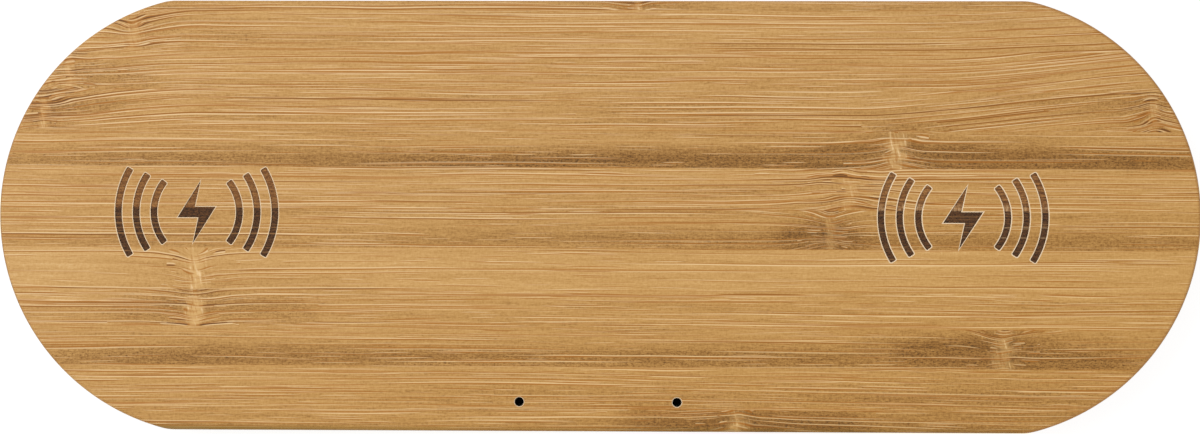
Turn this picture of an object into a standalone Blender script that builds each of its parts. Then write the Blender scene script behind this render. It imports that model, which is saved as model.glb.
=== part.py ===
"""A flat bamboo charging pad for two phones, built piece by piece.

The case is a milled bamboo board. A moulded cover closes it from below and carries the circuit board.
Two flat coils on ferrite discs lie under the two engraved marks. Lengths are in metres, +Z is up, and
the front, with the charging socket and the two status lights, faces -Y.
"""

import math

import bmesh
import bpy
import numpy as np
from mathutils import Matrix, Vector

MM = 0.001

# Clearances, and how far a cutter runs past the face that it cuts
SEAT_GAP = 0.3 * MM
COVER_GAP = 0.3 * MM
CUT_OVERRUN = 1.0 * MM
JOIN_BITE = 0.5 * MM
WELD_DISTANCE = 0.001 * MM

# Case: a laminated bamboo board. Its end arcs are struck a little wider than its half width
CASE_LENGTH = 240 * MM
CASE_WIDTH = 86 * MM
CASE_HEIGHT = 11 * MM
END_RADIUS_EXCESS = 1.15 * MM
CORNER_BLEND = 10 * MM
EDGE_ROUND = 0.8 * MM
RIM_WIDTH = 2.6 * MM
COIL_ROOF = 2.4 * MM
BAY_ROOF = 2.0 * MM
CHANNEL_ROOF = 2.8 * MM
BAY_STEP = 0.2 * MM
POCKET_CLEARANCE = 1.5 * MM
CHANNEL_WIDTH = 12 * MM
END_ARC_STEPS = 28
BLEND_STEPS = 2
EDGE_STEPS = 2

# Cover: a moulded plate set in the underside of the case
COVER_THICKNESS = 2.0 * MM
BOSS_RADIUS = 2.5 * MM
PAD_RING_GAP = 0.6 * MM
PAD_RING_WALL = 1.2 * MM
PAD_RING_HEIGHT = 1.2 * MM
PILOT_GAP = 0.15 * MM

# Feet: soft discs pressed into shallow recesses in the cover
FOOT_RADIUS = 5.0 * MM
FOOT_STAND = 1.0 * MM
FOOT_SEAT_DEPTH = 0.8 * MM
FOOT_EDGE = 0.35 * MM
FOOT_FROM_END_EDGE = 12.15 * MM
FOOT_RING_ANGLE = math.radians(32)
MIDDLE_FOOT_FROM_SIDE = 11 * MM

# Cover screws: countersunk, driven from below into the bamboo
COVER_SCREW_LENGTH = 8.0 * MM
COVER_SCREW_RADIUS = 1.3 * MM
COVER_SCREW_HEAD_RADIUS = 2.4 * MM
COVER_SCREW_HEAD_HEIGHT = 1.2 * MM
COVER_SCREW_POINT = 1.6 * MM
COVER_SCREW_FROM_END_EDGE = 10.15 * MM
COVER_SCREW_RING_ANGLE = math.radians(62)
COVER_SCREW_FROM_SIDE = 11 * MM
COVER_SCREW_FROM_BAY = 9.5 * MM

# Board screws: pan heads, driven from above into the cover's bosses
BOARD_SCREW_LENGTH = 3.6 * MM
BOARD_SCREW_RADIUS = 0.9 * MM
BOARD_SCREW_HEAD_RADIUS = 1.8 * MM
BOARD_SCREW_HEAD_HEIGHT = 1.2 * MM
BOARD_SCREW_POINT = 0.5 * MM

# The cross recess of both screws
DRIVE_LENGTH = 2.2 * MM
DRIVE_WIDTH = 0.5 * MM
DRIVE_DEPTH = 0.7 * MM

# Circuit board, and where its parts sit
BOARD_LENGTH = 56 * MM
BOARD_DEPTH = 44 * MM
BOARD_THICKNESS = 1.2 * MM
BOARD_CORNER = 1.0 * MM
BOARD_SIDE_GAP = 0.4 * MM
BOARD_HOLE_INSET = 3.2 * MM
SOLDER_INSET = 2.0 * MM
INNER_LEAD_BACK = 31.8 * MM
LEAD_SPACING = 4.0 * MM

# Charging socket, sunk into a notch in the board's front edge
SOCKET_WIDTH = 8.94 * MM
SOCKET_HEIGHT = 3.26 * MM
SOCKET_DEPTH = 7.35 * MM
SOCKET_CORNER = 1.3 * MM
SOCKET_WALL = 0.3 * MM
SOCKET_SINK = 0.8 * MM
SOCKET_RECESS = 2.6 * MM
EAR_REACH = 1.0 * MM
EAR_LENGTH = 1.1 * MM
EAR_THICKNESS = 0.3 * MM
EAR_BITE = 0.2 * MM
EAR_PLACE_SHARES = (0.36, 0.84)
TONGUE_WIDTH = 6.7 * MM
TONGUE_THICKNESS = 0.7 * MM
TONGUE_LENGTH = 4.9 * MM
TONGUE_BASE_DEPTH = 1.6 * MM
SOCKET_INNER_GAP = 0.1 * MM
PORT_MARGIN_SIDE = 2.0 * MM
PORT_MARGIN_HEIGHT = 1.7 * MM
PORT_CORNER = 1.5 * MM

# Status lights under their two holes in the case's roof
LIGHT_SPACING = 31.5 * MM
LIGHT_DRIFT = 0.3 * MM
LIGHT_BACK = 2.7 * MM
LIGHT_HOLE_RADIUS = 0.83 * MM
LIGHT_BODY = (2.0 * MM, 1.25 * MM, 0.7 * MM)
LIGHT_LENS_RADIUS = 0.5 * MM
LIGHT_LENS_HEIGHT = 0.4 * MM
SLEEVE_RADIUS = 1.9 * MM
SLEEVE_BORE_RADIUS = 1.35 * MM

# Charging coils, each one wire wound as a flat spiral, with its two leads
LEFT_COIL_FROM_END = 39.75 * MM
RIGHT_COIL_FROM_END = 47.15 * MM
LEFT_COIL_DRIFT = 0.6 * MM
RIGHT_COIL_DRIFT = -0.1 * MM
COIL_TURNS = 9 + 2 / 3
COIL_INNER_RADIUS = 10.5 * MM
COIL_PITCH = 1.15 * MM
WIRE_DIAMETER = 0.7 * MM
COIL_START_DEGREES = 70
POINTS_PER_TURN = 24
LEAD_POINT_SPACING = 1.6 * MM
# The inner lead under the winding: share of the inner radius, degrees from the slot, share of the rise
INNER_CURL_SHARES = (
    (1.15, 0, 0.0),
    (0.97, 0, 0.1),
    (0.80, 0, 0.5),
    (0.68, 2, 0.9),
    (0.60, 12, 1.0),
    (0.60, 32, 1.0),
    (0.69, 52, 1.0),
    (0.81, 67, 1.0),
    (0.92, 79, 1.0),
)
# The outer lead as it leaves the winding: share of the outer radius, degrees past the winding's end
OUTER_CURL_SHARES = ((1.035, 8), (1.075, 15))
# Both leads from the ferrite's edge to the board: share of the way, and share of the change in height
INNER_RUN_SHARES = ((0.2, 0.0), (0.55, 0.6), (0.85, 1.0), (1.0, 1.0))
OUTER_RUN_SHARES = ((0.08, 0.02), (0.2, 0.15), (0.55, 0.75), (0.85, 1.0), (1.0, 1.0))
FERRITE_OVERHANG = 2.5 * MM
FERRITE_THICKNESS = 1.2 * MM
FERRITE_SLOT_WIDTH = 2.0 * MM
FERRITE_SLOT_START = 5.6 * MM
FERRITE_SLOT_DEGREES = -20
TAPE_THICKNESS = 0.3 * MM
TAPE_INSET = 1.0 * MM
FOAM_RADIUS = 18 * MM
FOAM_EDGE = 0.5 * MM

# The engraved mark over each coil: a bolt between two fans of arcs
MARK_DEPTH = 0.25 * MM
MARK_STROKE = 1.25 * MM
MARK_FIRST_RADIUS = 9.85 * MM
MARK_RADIUS_STEP = 3.58 * MM
MARK_CENTRE_SHIFT = 1.25 * MM
MARK_HALF_ANGLES = (math.radians(37.3), math.radians(33.0), math.radians(29.7))
MARK_ARC_STEPS = 8
BOLT_WIDTH = 7.6 * MM
BOLT_HEIGHT = 12.2 * MM
BOLT_HALF_OUTLINE_SHARES = ((0.10, 0.50), (-0.05, 0.085), (0.50, 0.085))
LEFT_MARK_STRETCH = 1.0
RIGHT_MARK_STRETCH = 1.045

# Parts on the board: width along X, depth along Y, height
CONTROLLER_SIZE = (6.0 * MM, 6.0 * MM, 0.9 * MM)
CONTROLLER_DIMPLE_RADIUS = 0.35 * MM
CONTROLLER_DIMPLE_DEPTH = 0.1 * MM
CONTROLLER_DIMPLE_INSET = 0.9 * MM
TRANSISTOR_SIZE = (3.9 * MM, 4.9 * MM, 1.4 * MM)
TRANSISTOR_LEADS_A_SIDE = 4
TRANSISTOR_LEAD_PITCH = 1.1 * MM
TRANSISTOR_LEAD_WIDTH = 0.4 * MM
TRANSISTOR_LEAD_THICKNESS = 0.2 * MM
TRANSISTOR_LEAD_REACH = 1.0 * MM
CERAMIC_SIZE = (3.2 * MM, 2.5 * MM, 1.8 * MM)
CERAMIC_END_LENGTH = 0.6 * MM
CERAMIC_END_STEP = 0.06 * MM
TANTALUM_SIZE = (2.8 * MM, 3.5 * MM, 1.9 * MM)
TANTALUM_TAB_WIDTH = 1.8 * MM
TANTALUM_TAB_REACH = 0.35 * MM
TANTALUM_TAB_HEIGHT = 0.5 * MM
INDUCTOR_SIZE = (5.0 * MM, 5.0 * MM, 2.0 * MM)
INDUCTOR_CORE_RADIUS = 1.9 * MM
INDUCTOR_CORE_HEIGHT = 0.3 * MM
PART_EDGE = 0.12 * MM
PART_GAP = 0.1 * MM

# Places as shares of the board's half length from its middle, and of its depth from its front edge
CONTROLLER_PLACE_SHARES = (0.46, 0.40)
TRANSISTOR_PLACES_SHARES = ((0.74, 0.30), (0.74, 0.52))
CERAMIC_PLACES_SHARES = ((0.66, 0.72), (0.42, 0.72))
TANTALUM_PLACE_SHARES = (0.27, 0.24)
INDUCTOR_PLACE_SHARES = (0.0, 0.40)

# How round the round pieces are
LARGE_ROUND_STEPS = 36
MIDDLE_ROUND_STEPS = 20
SMALL_ROUND_STEPS = 14
TINY_ROUND_STEPS = 10
CORNER_STEPS = 3
SHARP_ANGLE = math.radians(40)
FLAT_ANGLE = math.radians(0.5)

# Levels and places that follow from the sizes above
END_RADIUS = CASE_WIDTH / 2 + END_RADIUS_EXCESS
END_ARC_X = CASE_LENGTH / 2 - END_RADIUS
CASE_BOTTOM = FOOT_STAND
CASE_TOP = CASE_BOTTOM + CASE_HEIGHT
COVER_TOP = CASE_BOTTOM + COVER_THICKNESS
LEDGE = COVER_TOP + COVER_GAP
COIL_CEILING = CASE_TOP - COIL_ROOF
BAY_CEILING = CASE_TOP - BAY_ROOF
SOCKET_Z = CASE_BOTTOM + CASE_HEIGHT / 2
BOARD_TOP = SOCKET_Z - SOCKET_HEIGHT / 2 + SOCKET_SINK
BOARD_BOTTOM = BOARD_TOP - BOARD_THICKNESS
BAY_FRONT = -(CASE_WIDTH / 2 - RIM_WIDTH - BAY_STEP)
BOARD_FRONT = BAY_FRONT + BOARD_SIDE_GAP
BOARD_BACK = BOARD_FRONT + BOARD_DEPTH
SOCKET_FRONT = -CASE_WIDTH / 2 + SOCKET_RECESS
SOCKET_BACK = SOCKET_FRONT + SOCKET_DEPTH
INNER_LEAD_Y = BOARD_FRONT + INNER_LEAD_BACK
OUTER_LEAD_Y = INNER_LEAD_Y - LEAD_SPACING
TAPE_TOP = COIL_CEILING - SEAT_GAP
COIL_Z = TAPE_TOP - TAPE_THICKNESS - SEAT_GAP - WIRE_DIAMETER / 2
FERRITE_TOP = COIL_Z - WIRE_DIAMETER / 2 - SEAT_GAP
FERRITE_BOTTOM = FERRITE_TOP - FERRITE_THICKNESS
COIL_OUTER_RADIUS = COIL_INNER_RADIUS + COIL_PITCH * COIL_TURNS
FERRITE_RADIUS = COIL_OUTER_RADIUS + FERRITE_OVERHANG
POCKET_RADIUS = FERRITE_RADIUS + POCKET_CLEARANCE

# Each coil's middle, and the way from it to the board: +1 is towards +X
COILS = {
    "left": (LEFT_COIL_FROM_END - CASE_LENGTH / 2, LEFT_COIL_DRIFT, 1),
    "right": (CASE_LENGTH / 2 - RIGHT_COIL_FROM_END, RIGHT_COIL_DRIFT, -1),
}
MARK_STRETCHES = {"left": LEFT_MARK_STRETCH, "right": RIGHT_MARK_STRETCH}


def start_scene():
    """An empty scene with one collection for the object and one for its cutters."""
    for obj in list(bpy.data.objects):
        bpy.data.objects.remove(obj)
    made = []
    for name in ("wireless_charger", "cutters"):
        collection = bpy.data.collections.new(name)
        bpy.context.scene.collection.children.link(collection)
        made.append(collection)
    return made


PARTS, CUTTERS = start_scene()


def make_material(name, colour, roughness, metallic=0.0):
    material = bpy.data.materials.new(name)
    material.use_nodes = True
    shader = material.node_tree.nodes["Principled BSDF"]
    shader.inputs["Base Color"].default_value = (*colour, 1.0)
    shader.inputs["Roughness"].default_value = roughness
    shader.inputs["Metallic"].default_value = metallic
    return material


BAMBOO = make_material("bamboo", (0.56, 0.35, 0.14), 0.5)
COVER_PLASTIC = make_material("cover_plastic", (0.03, 0.03, 0.032), 0.55)
FOOT_RUBBER = make_material("foot_rubber", (0.05, 0.05, 0.05), 0.8)
SCREW_STEEL = make_material("screw_steel", (0.55, 0.55, 0.56), 0.35, 1.0)
COPPER_WIRE = make_material("copper_wire", (0.72, 0.33, 0.14), 0.35, 1.0)
FERRITE = make_material("ferrite", (0.06, 0.06, 0.065), 0.6)
TAPE = make_material("tape", (0.75, 0.73, 0.66), 0.7)
FOAM = make_material("foam", (0.08, 0.08, 0.085), 0.95)
BOARD_LAMINATE = make_material("board_laminate", (0.02, 0.16, 0.06), 0.4)
SOCKET_METAL = make_material("socket_metal", (0.75, 0.75, 0.76), 0.25, 1.0)
SOCKET_PLASTIC = make_material("socket_plastic", (0.02, 0.02, 0.02), 0.5)
LIGHT_LENS = make_material("light_lens", (0.10, 0.10, 0.10), 0.3)
SLEEVE_RUBBER = make_material("sleeve_rubber", (0.02, 0.02, 0.02), 0.9)
CHIP_PLASTIC = make_material("chip_plastic", (0.03, 0.03, 0.03), 0.5)
CERAMIC = make_material("ceramic", (0.45, 0.30, 0.18), 0.4)
TANTALUM = make_material("tantalum", (0.75, 0.45, 0.05), 0.45)
CORE_GREY = make_material("core_grey", (0.15, 0.15, 0.16), 0.6)


def add_object(name, data, material, place=(0, 0, 0)):
    """A named object in the parts' collection, or in the cutters' if it has no material."""
    obj = bpy.data.objects.new(name, data)
    obj.location = place
    if material is None:
        CUTTERS.objects.link(obj)
        obj.hide_render = True
        obj.display_type = "WIRE"
    else:
        PARTS.objects.link(obj)
        if not data.materials:
            data.materials.append(material)
    return obj


def shade_round(mesh):
    mesh.shade_smooth()
    mesh.set_sharp_from_angle(angle=SHARP_ANGLE)
    return mesh


def mesh_from(fill):
    """A mesh made by a function that fills a bmesh."""
    mesh = bpy.data.meshes.new("shape")
    shape = bmesh.new()
    fill(shape)
    shape.to_mesh(mesh)
    shape.free()
    return mesh


def box_mesh(size):
    """A box that stands on its own origin: size is its width, depth and height."""
    place = Matrix.Translation((0, 0, size[2] / 2)) @ Matrix.Diagonal((*size, 1))
    return mesh_from(lambda shape: bmesh.ops.create_cube(shape, size=1, matrix=place))


def cone_mesh(bottom_radius, top_radius, height, steps):
    """A cylinder or cone that stands on its own origin."""

    def fill(shape):
        bmesh.ops.create_cone(
            shape,
            cap_ends=True,
            segments=steps,
            radius1=bottom_radius,
            radius2=top_radius,
            depth=height,
            matrix=Matrix.Translation((0, 0, height / 2)),
        )

    return shade_round(mesh_from(fill))


def evaluated_mesh(obj):
    """What an object looks like with its modifiers, as a closed mesh of its own."""
    bpy.context.view_layer.update()
    graph = bpy.context.evaluated_depsgraph_get()
    mesh = bpy.data.meshes.new_from_object(obj.evaluated_get(graph), depsgraph=graph)
    shape = bmesh.new()
    shape.from_mesh(mesh)
    bmesh.ops.remove_doubles(shape, verts=shape.verts, dist=WELD_DISTANCE)
    shape.to_mesh(mesh)
    shape.free()
    return mesh


def finished_mesh(obj, helpers):
    """The mesh of an object that was only made to be copied. The object and its helpers go."""
    mesh = evaluated_mesh(obj)
    for used in (obj, *helpers):
        bpy.data.objects.remove(used)
    return mesh


def plate_mesh(loops, thickness):
    """A flat plate that stands on its own origin: the first loop is its outline and the others are holes."""
    outline = bpy.data.curves.new("outline", "CURVE")
    outline.dimensions = "2D"
    outline.fill_mode = "BOTH"
    outline.extrude = thickness / 2
    for loop in loops:
        spline = outline.splines.new("POLY")
        spline.points.add(len(loop) - 1)
        for point, (x, y) in zip(spline.points, loop):
            point.co = (x, y, 0, 1)
        spline.use_cyclic_u = True
    curve = bpy.data.objects.new("outline", outline)
    CUTTERS.objects.link(curve)
    mesh = evaluated_mesh(curve)
    bpy.data.objects.remove(curve)
    mesh.materials.clear()
    mesh.transform(Matrix.Translation((0, 0, thickness / 2)))
    shape = bmesh.new()
    shape.from_mesh(mesh)
    bmesh.ops.dissolve_limit(shape, angle_limit=FLAT_ANGLE, verts=shape.verts, edges=shape.edges)
    shape.to_mesh(mesh)
    shape.free()
    return mesh


def cut(obj, cutter, operation="DIFFERENCE"):
    modifier = obj.modifiers.new(cutter.name, "BOOLEAN")
    modifier.operation = operation
    modifier.object = cutter
    modifier.solver = "EXACT"


def join(obj, addition):
    cut(obj, addition, "UNION")


def round_edges(obj, width, steps=1):
    modifier = obj.modifiers.new("rounded_edges", "BEVEL")
    modifier.width = width
    modifier.segments = steps
    modifier.limit_method = "ANGLE"
    modifier.angle_limit = SHARP_ANGLE


def arc(centre, radius, start, end, steps):
    """Points of an arc, both ends included."""
    turns = [start + (end - start) * i / steps for i in range(steps + 1)]
    return [(centre[0] + radius * math.cos(t), centre[1] + radius * math.sin(t)) for t in turns]


def circle(centre, radius, steps):
    return arc(centre, radius, 0, math.tau, steps)[:-1]


def rounded_rectangle(width, height, corner, steps):
    """The outline of a rectangle about the origin, anticlockwise, with round corners."""
    across, up = width / 2 - corner, height / 2 - corner
    points = []
    for quarter, (x, y) in enumerate(((1, 1), (-1, 1), (-1, -1), (1, -1))):
        start = quarter * math.pi / 2
        points += arc((x * across, y * up), corner, start, start + math.pi / 2, steps)
    return points


def case_outline(inset):
    """The case's plan moved inwards: end arcs, straight sides, and the blends where these meet."""
    half_width = CASE_WIDTH / 2 - inset
    end_radius = END_RADIUS - inset
    blend = CORNER_BLEND - inset
    rise = half_width - blend
    reach = math.sqrt((end_radius - blend) ** 2 - rise**2)
    turn = math.atan2(rise, reach)
    upper, lower = (END_ARC_X + reach, rise), (END_ARC_X + reach, -rise)
    right = arc(lower, blend, -math.pi / 2, -turn, BLEND_STEPS)
    right += arc((END_ARC_X, 0), end_radius, -turn, turn, END_ARC_STEPS)[1:]
    right += arc(upper, blend, turn, math.pi / 2, BLEND_STEPS)[1:]
    return right + [(-x, -y) for x, y in right]


def turned_mesh(profile, steps):
    """A round solid about Z. The profile runs down its outer side, from the axis to the axis."""
    line = bpy.data.meshes.new("profile")
    corners = [(radius, 0, height) for radius, height in profile]
    line.from_pydata(corners, [(i, i + 1) for i in range(len(corners) - 1)], [])
    obj = bpy.data.objects.new("profile", line)
    CUTTERS.objects.link(obj)
    modifier = obj.modifiers.new("turned", "SCREW")
    modifier.steps = modifier.render_steps = steps
    modifier.use_merge_vertices = True
    modifier.merge_threshold = WELD_DISTANCE
    mesh = evaluated_mesh(obj)
    bpy.data.objects.remove(obj)
    return shade_round(mesh)


def ring_places(from_edge, angle):
    """Four places about the two ends, this far inside the case's round edge."""
    radius = END_RADIUS - from_edge
    across, up = END_ARC_X + radius * math.cos(angle), radius * math.sin(angle)
    return [(x * across, y * up) for x in (-1, 1) for y in (-1, 1)]


def foot_places():
    side = CASE_WIDTH / 2 - MIDDLE_FOOT_FROM_SIDE
    return ring_places(FOOT_FROM_END_EDGE, FOOT_RING_ANGLE) + [(0, -side), (0, side)]


def cover_screw_places():
    side = CASE_WIDTH / 2 - COVER_SCREW_FROM_SIDE
    across = BOARD_LENGTH / 2 + COVER_SCREW_FROM_BAY
    middle = [(x * across, y * side) for x in (-1, 1) for y in (-1, 1)]
    return ring_places(COVER_SCREW_FROM_END_EDGE, COVER_SCREW_RING_ANGLE) + middle


def board_screw_places():
    across = BOARD_LENGTH / 2 - BOARD_HOLE_INSET
    rows = (BOARD_FRONT + BOARD_HOLE_INSET, BOARD_BACK - BOARD_HOLE_INSET)
    return [(x * across, y) for x in (-1, 1) for y in rows]


def light_places():
    row, away = BOARD_FRONT + LIGHT_BACK, LIGHT_SPACING / 2
    return {"left": (LIGHT_DRIFT - away, row), "right": (LIGHT_DRIFT + away, row)}


def port_mesh(depth):
    """The prism that opens the port through the case's front wall, before it is turned to face -Y."""
    width = SOCKET_WIDTH + 2 * PORT_MARGIN_SIDE
    height = SOCKET_HEIGHT + 2 * PORT_MARGIN_HEIGHT
    return plate_mesh([rounded_rectangle(width, height, PORT_CORNER, CORNER_STEPS)], depth)


def stroke_outline(centre, radius, facing, half_angle):
    """One of the mark's arcs as a stroke with square ends, anticlockwise."""
    start, end = facing - half_angle, facing + half_angle
    half = MARK_STROKE / 2
    outline = arc(centre, radius + half, start, end, MARK_ARC_STEPS)
    return outline + arc(centre, radius - half, end, start, MARK_ARC_STEPS)


def mark_outlines(stretch):
    """The mark's outlines about its own middle, stretched in X: the arcs on both sides, then the bolt."""
    outlines = []
    for i, half_angle in enumerate(MARK_HALF_ANGLES):
        radius = MARK_FIRST_RADIUS + i * MARK_RADIUS_STEP
        for facing, shift in ((0, -MARK_CENTRE_SHIFT), (math.pi, MARK_CENTRE_SHIFT)):
            outlines.append(stroke_outline((shift, 0), radius, facing, half_angle))
    half = [(x * BOLT_WIDTH, y * BOLT_HEIGHT) for x, y in BOLT_HALF_OUTLINE_SHARES]
    outlines.append(half[::-1] + [(-x, -y) for x, y in half[::-1]])
    return [[(x * stretch, y) for x, y in outline] for outline in outlines]


def case_cutters():
    """Everything that is milled, drilled or burnt out of the case's board."""
    below = CASE_BOTTOM - CUT_OVERRUN
    yield add_object("rebate", plate_mesh([case_outline(RIM_WIDTH)], LEDGE - below), None, (0, 0, below))
    bay_length = BOARD_LENGTH + 2 * BOARD_SIDE_GAP
    bay_depth = BOARD_DEPTH + 2 * BOARD_SIDE_GAP
    bay = box_mesh((bay_length, bay_depth, BAY_CEILING - COVER_TOP))
    yield add_object("board_bay", bay, None, (0, BAY_FRONT + bay_depth / 2, COVER_TOP))
    channel_y = (INNER_LEAD_Y + OUTER_LEAD_Y) / 2
    for name, (x, y, side) in COILS.items():
        pocket = cone_mesh(POCKET_RADIUS, POCKET_RADIUS, COIL_CEILING - COVER_TOP, LARGE_ROUND_STEPS)
        yield add_object(f"coil_pocket_{name}", pocket, None, (x, y, COVER_TOP))
        channel = box_mesh((abs(x), CHANNEL_WIDTH, CASE_TOP - CHANNEL_ROOF - COVER_TOP))
        yield add_object(f"wire_channel_{name}", channel, None, (x / 2, channel_y, COVER_TOP))
    port_depth = RIM_WIDTH + BAY_STEP + CUT_OVERRUN + JOIN_BITE
    port = add_object("port", port_mesh(port_depth), None, (0, BAY_FRONT + JOIN_BITE, SOCKET_Z))
    port.rotation_euler.x = math.pi / 2
    yield port
    for name, (x, y) in light_places().items():
        depth = BAY_ROOF + 2 * CUT_OVERRUN
        hole = cone_mesh(LIGHT_HOLE_RADIUS, LIGHT_HOLE_RADIUS, depth, SMALL_ROUND_STEPS)
        yield add_object(f"light_hole_{name}", hole, None, (x, y, BAY_CEILING - CUT_OVERRUN))
    pilot_radius = COVER_SCREW_RADIUS + PILOT_GAP
    for i, (x, y) in enumerate(cover_screw_places(), 1):
        pilot = cone_mesh(pilot_radius, pilot_radius, COVER_SCREW_LENGTH, TINY_ROUND_STEPS)
        yield add_object(f"screw_pilot_{i}", pilot, None, (x, y, CASE_BOTTOM + 2 * SEAT_GAP))
    for name, (x, y, side) in COILS.items():
        for i, outline in enumerate(mark_outlines(MARK_STRETCHES[name]), 1):
            stroke = plate_mesh([outline], MARK_DEPTH + CUT_OVERRUN)
            yield add_object(f"mark_{name}_{i}", stroke, None, (x, y, CASE_TOP - MARK_DEPTH))


def build_case():
    case = add_object("top_case", plate_mesh([case_outline(0)], CASE_HEIGHT), BAMBOO, (0, 0, CASE_BOTTOM))
    round_edges(case, EDGE_ROUND, EDGE_STEPS)
    for cutter in case_cutters():
        cut(case, cutter)


def cover_additions():
    """The bosses under the board and the rings about the foam pads."""
    bottom = COVER_TOP - JOIN_BITE
    boss_height = BOARD_BOTTOM - SEAT_GAP - bottom
    for i, (x, y) in enumerate(board_screw_places(), 1):
        boss = cone_mesh(BOSS_RADIUS, BOSS_RADIUS, boss_height, SMALL_ROUND_STEPS)
        yield add_object(f"boss_{i}", boss, None, (x, y, bottom))
    inner = FOAM_RADIUS + PAD_RING_GAP
    for name, (x, y, side) in COILS.items():
        loops = [circle((0, 0), radius, LARGE_ROUND_STEPS) for radius in (inner + PAD_RING_WALL, inner)]
        ring = plate_mesh(loops, PAD_RING_HEIGHT + JOIN_BITE)
        yield add_object(f"pad_ring_{name}", ring, None, (x, y, bottom))


def countersink_mesh():
    """The screw's seat in the cover: a straight mouth, a cone and a through hole."""
    head, shank = COVER_SCREW_HEAD_RADIUS + PILOT_GAP, COVER_SCREW_RADIUS + PILOT_GAP
    mouth_top = 2 * SEAT_GAP
    cone_top = mouth_top + COVER_SCREW_HEAD_HEIGHT
    hole_top = COVER_THICKNESS + CUT_OVERRUN
    profile = [(0, hole_top), (shank, hole_top), (shank, cone_top), (head, mouth_top)]
    return turned_mesh(profile + [(head, -CUT_OVERRUN), (0, -CUT_OVERRUN)], SMALL_ROUND_STEPS)


def cover_cutters():
    """The feet's recesses, the countersunk holes and the bosses' pilot holes."""
    recess_radius = FOOT_RADIUS + SEAT_GAP
    recess = cone_mesh(recess_radius, recess_radius, FOOT_SEAT_DEPTH + CUT_OVERRUN, MIDDLE_ROUND_STEPS)
    for i, (x, y) in enumerate(foot_places(), 1):
        yield add_object(f"foot_recess_{i}", recess, None, (x, y, CASE_BOTTOM - CUT_OVERRUN))
    countersink = countersink_mesh()
    for i, (x, y) in enumerate(cover_screw_places(), 1):
        yield add_object(f"countersink_{i}", countersink, None, (x, y, CASE_BOTTOM))
    pilot_radius = BOARD_SCREW_RADIUS + PILOT_GAP
    pilot = cone_mesh(pilot_radius, pilot_radius, BOARD_SCREW_LENGTH, TINY_ROUND_STEPS)
    for i, (x, y) in enumerate(board_screw_places(), 1):
        yield add_object(f"board_pilot_{i}", pilot, None, (x, y, BOARD_TOP - BOARD_SCREW_LENGTH))


def build_cover():
    plate = plate_mesh([case_outline(RIM_WIDTH + COVER_GAP)], COVER_THICKNESS)
    cover = add_object("bottom_cover", plate, COVER_PLASTIC, (0, 0, CASE_BOTTOM))
    for addition in cover_additions():
        join(cover, addition)
    for cutter in cover_cutters():
        cut(cover, cutter)


def build_feet():
    height = FOOT_STAND + FOOT_SEAT_DEPTH - SEAT_GAP
    profile = [(0, height), (FOOT_RADIUS, height), (FOOT_RADIUS, FOOT_EDGE)]
    profile += [(FOOT_RADIUS - FOOT_EDGE, 0), (0, 0)]
    foot = turned_mesh(profile, MIDDLE_ROUND_STEPS)
    for i, (x, y) in enumerate(foot_places(), 1):
        add_object(f"foot_{i}", foot, FOOT_RUBBER, (x, y, 0))


def with_drive(profile, drive_bottom):
    """A turned screw with a cross recess cut from drive_bottom up."""
    screw = add_object("screw", turned_mesh(profile, SMALL_ROUND_STEPS), None)
    height = DRIVE_DEPTH + CUT_OVERRUN
    arms = []
    for size in ((DRIVE_LENGTH, DRIVE_WIDTH, height), (DRIVE_WIDTH, DRIVE_LENGTH, height)):
        arms.append(add_object("arm", box_mesh(size), None, (0, 0, drive_bottom)))
        cut(screw, arms[-1])
    return shade_round(finished_mesh(screw, arms))


def build_cover_screws():
    """Countersunk screws. Their heads lie a seat's gap inside the cover's lower face."""
    head, shank = COVER_SCREW_HEAD_RADIUS, COVER_SCREW_RADIUS
    profile = [(0, COVER_SCREW_LENGTH), (shank, COVER_SCREW_LENGTH - COVER_SCREW_POINT)]
    profile += [(shank, COVER_SCREW_HEAD_HEIGHT), (head, 0), (0, 0)]
    screw = with_drive(profile, -CUT_OVERRUN)
    for i, (x, y) in enumerate(cover_screw_places(), 1):
        add_object(f"cover_screw_{i}", screw, SCREW_STEEL, (x, y, CASE_BOTTOM + SEAT_GAP))


def build_board_screws():
    """Pan head screws. Zero height is under the head, on the board."""
    head, shank = BOARD_SCREW_HEAD_RADIUS, BOARD_SCREW_RADIUS
    shoulder = BOARD_SCREW_HEAD_HEIGHT / 2
    top = BOARD_SCREW_HEAD_HEIGHT
    profile = [(0, top), (head * math.sqrt(0.5), top), (head, shoulder), (head, 0), (shank, 0)]
    tip = BOARD_SCREW_LENGTH - 2 * SEAT_GAP
    profile += [(shank, BOARD_SCREW_POINT - tip), (0, -tip)]
    screw = with_drive(profile, top - DRIVE_DEPTH)
    for i, (x, y) in enumerate(board_screw_places(), 1):
        add_object(f"board_screw_{i}", screw, SCREW_STEEL, (x, y, BOARD_TOP + SEAT_GAP))


def build_board():
    """The circuit board, with its screw holes and the notch that holds the socket."""
    notch = SOCKET_WIDTH / 2 + SEAT_GAP
    notch_back = SOCKET_BACK + SEAT_GAP
    middle_y = (BOARD_FRONT + BOARD_BACK) / 2
    outline = rounded_rectangle(BOARD_LENGTH, BOARD_DEPTH, BOARD_CORNER, CORNER_STEPS)
    outline = [(x, y + middle_y) for x, y in outline]
    after_left_corner = 3 * len(outline) // 4
    mouth = [(-notch, BOARD_FRONT), (-notch, notch_back), (notch, notch_back), (notch, BOARD_FRONT)]
    outline[after_left_corner:after_left_corner] = mouth
    hole_radius = BOARD_SCREW_RADIUS + PILOT_GAP
    holes = [circle(place, hole_radius, TINY_ROUND_STEPS) for place in board_screw_places()]
    board = plate_mesh([outline, *holes], BOARD_THICKNESS)
    add_object("circuit_board", board, BOARD_LAMINATE, (0, 0, BOARD_BOTTOM))


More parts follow.
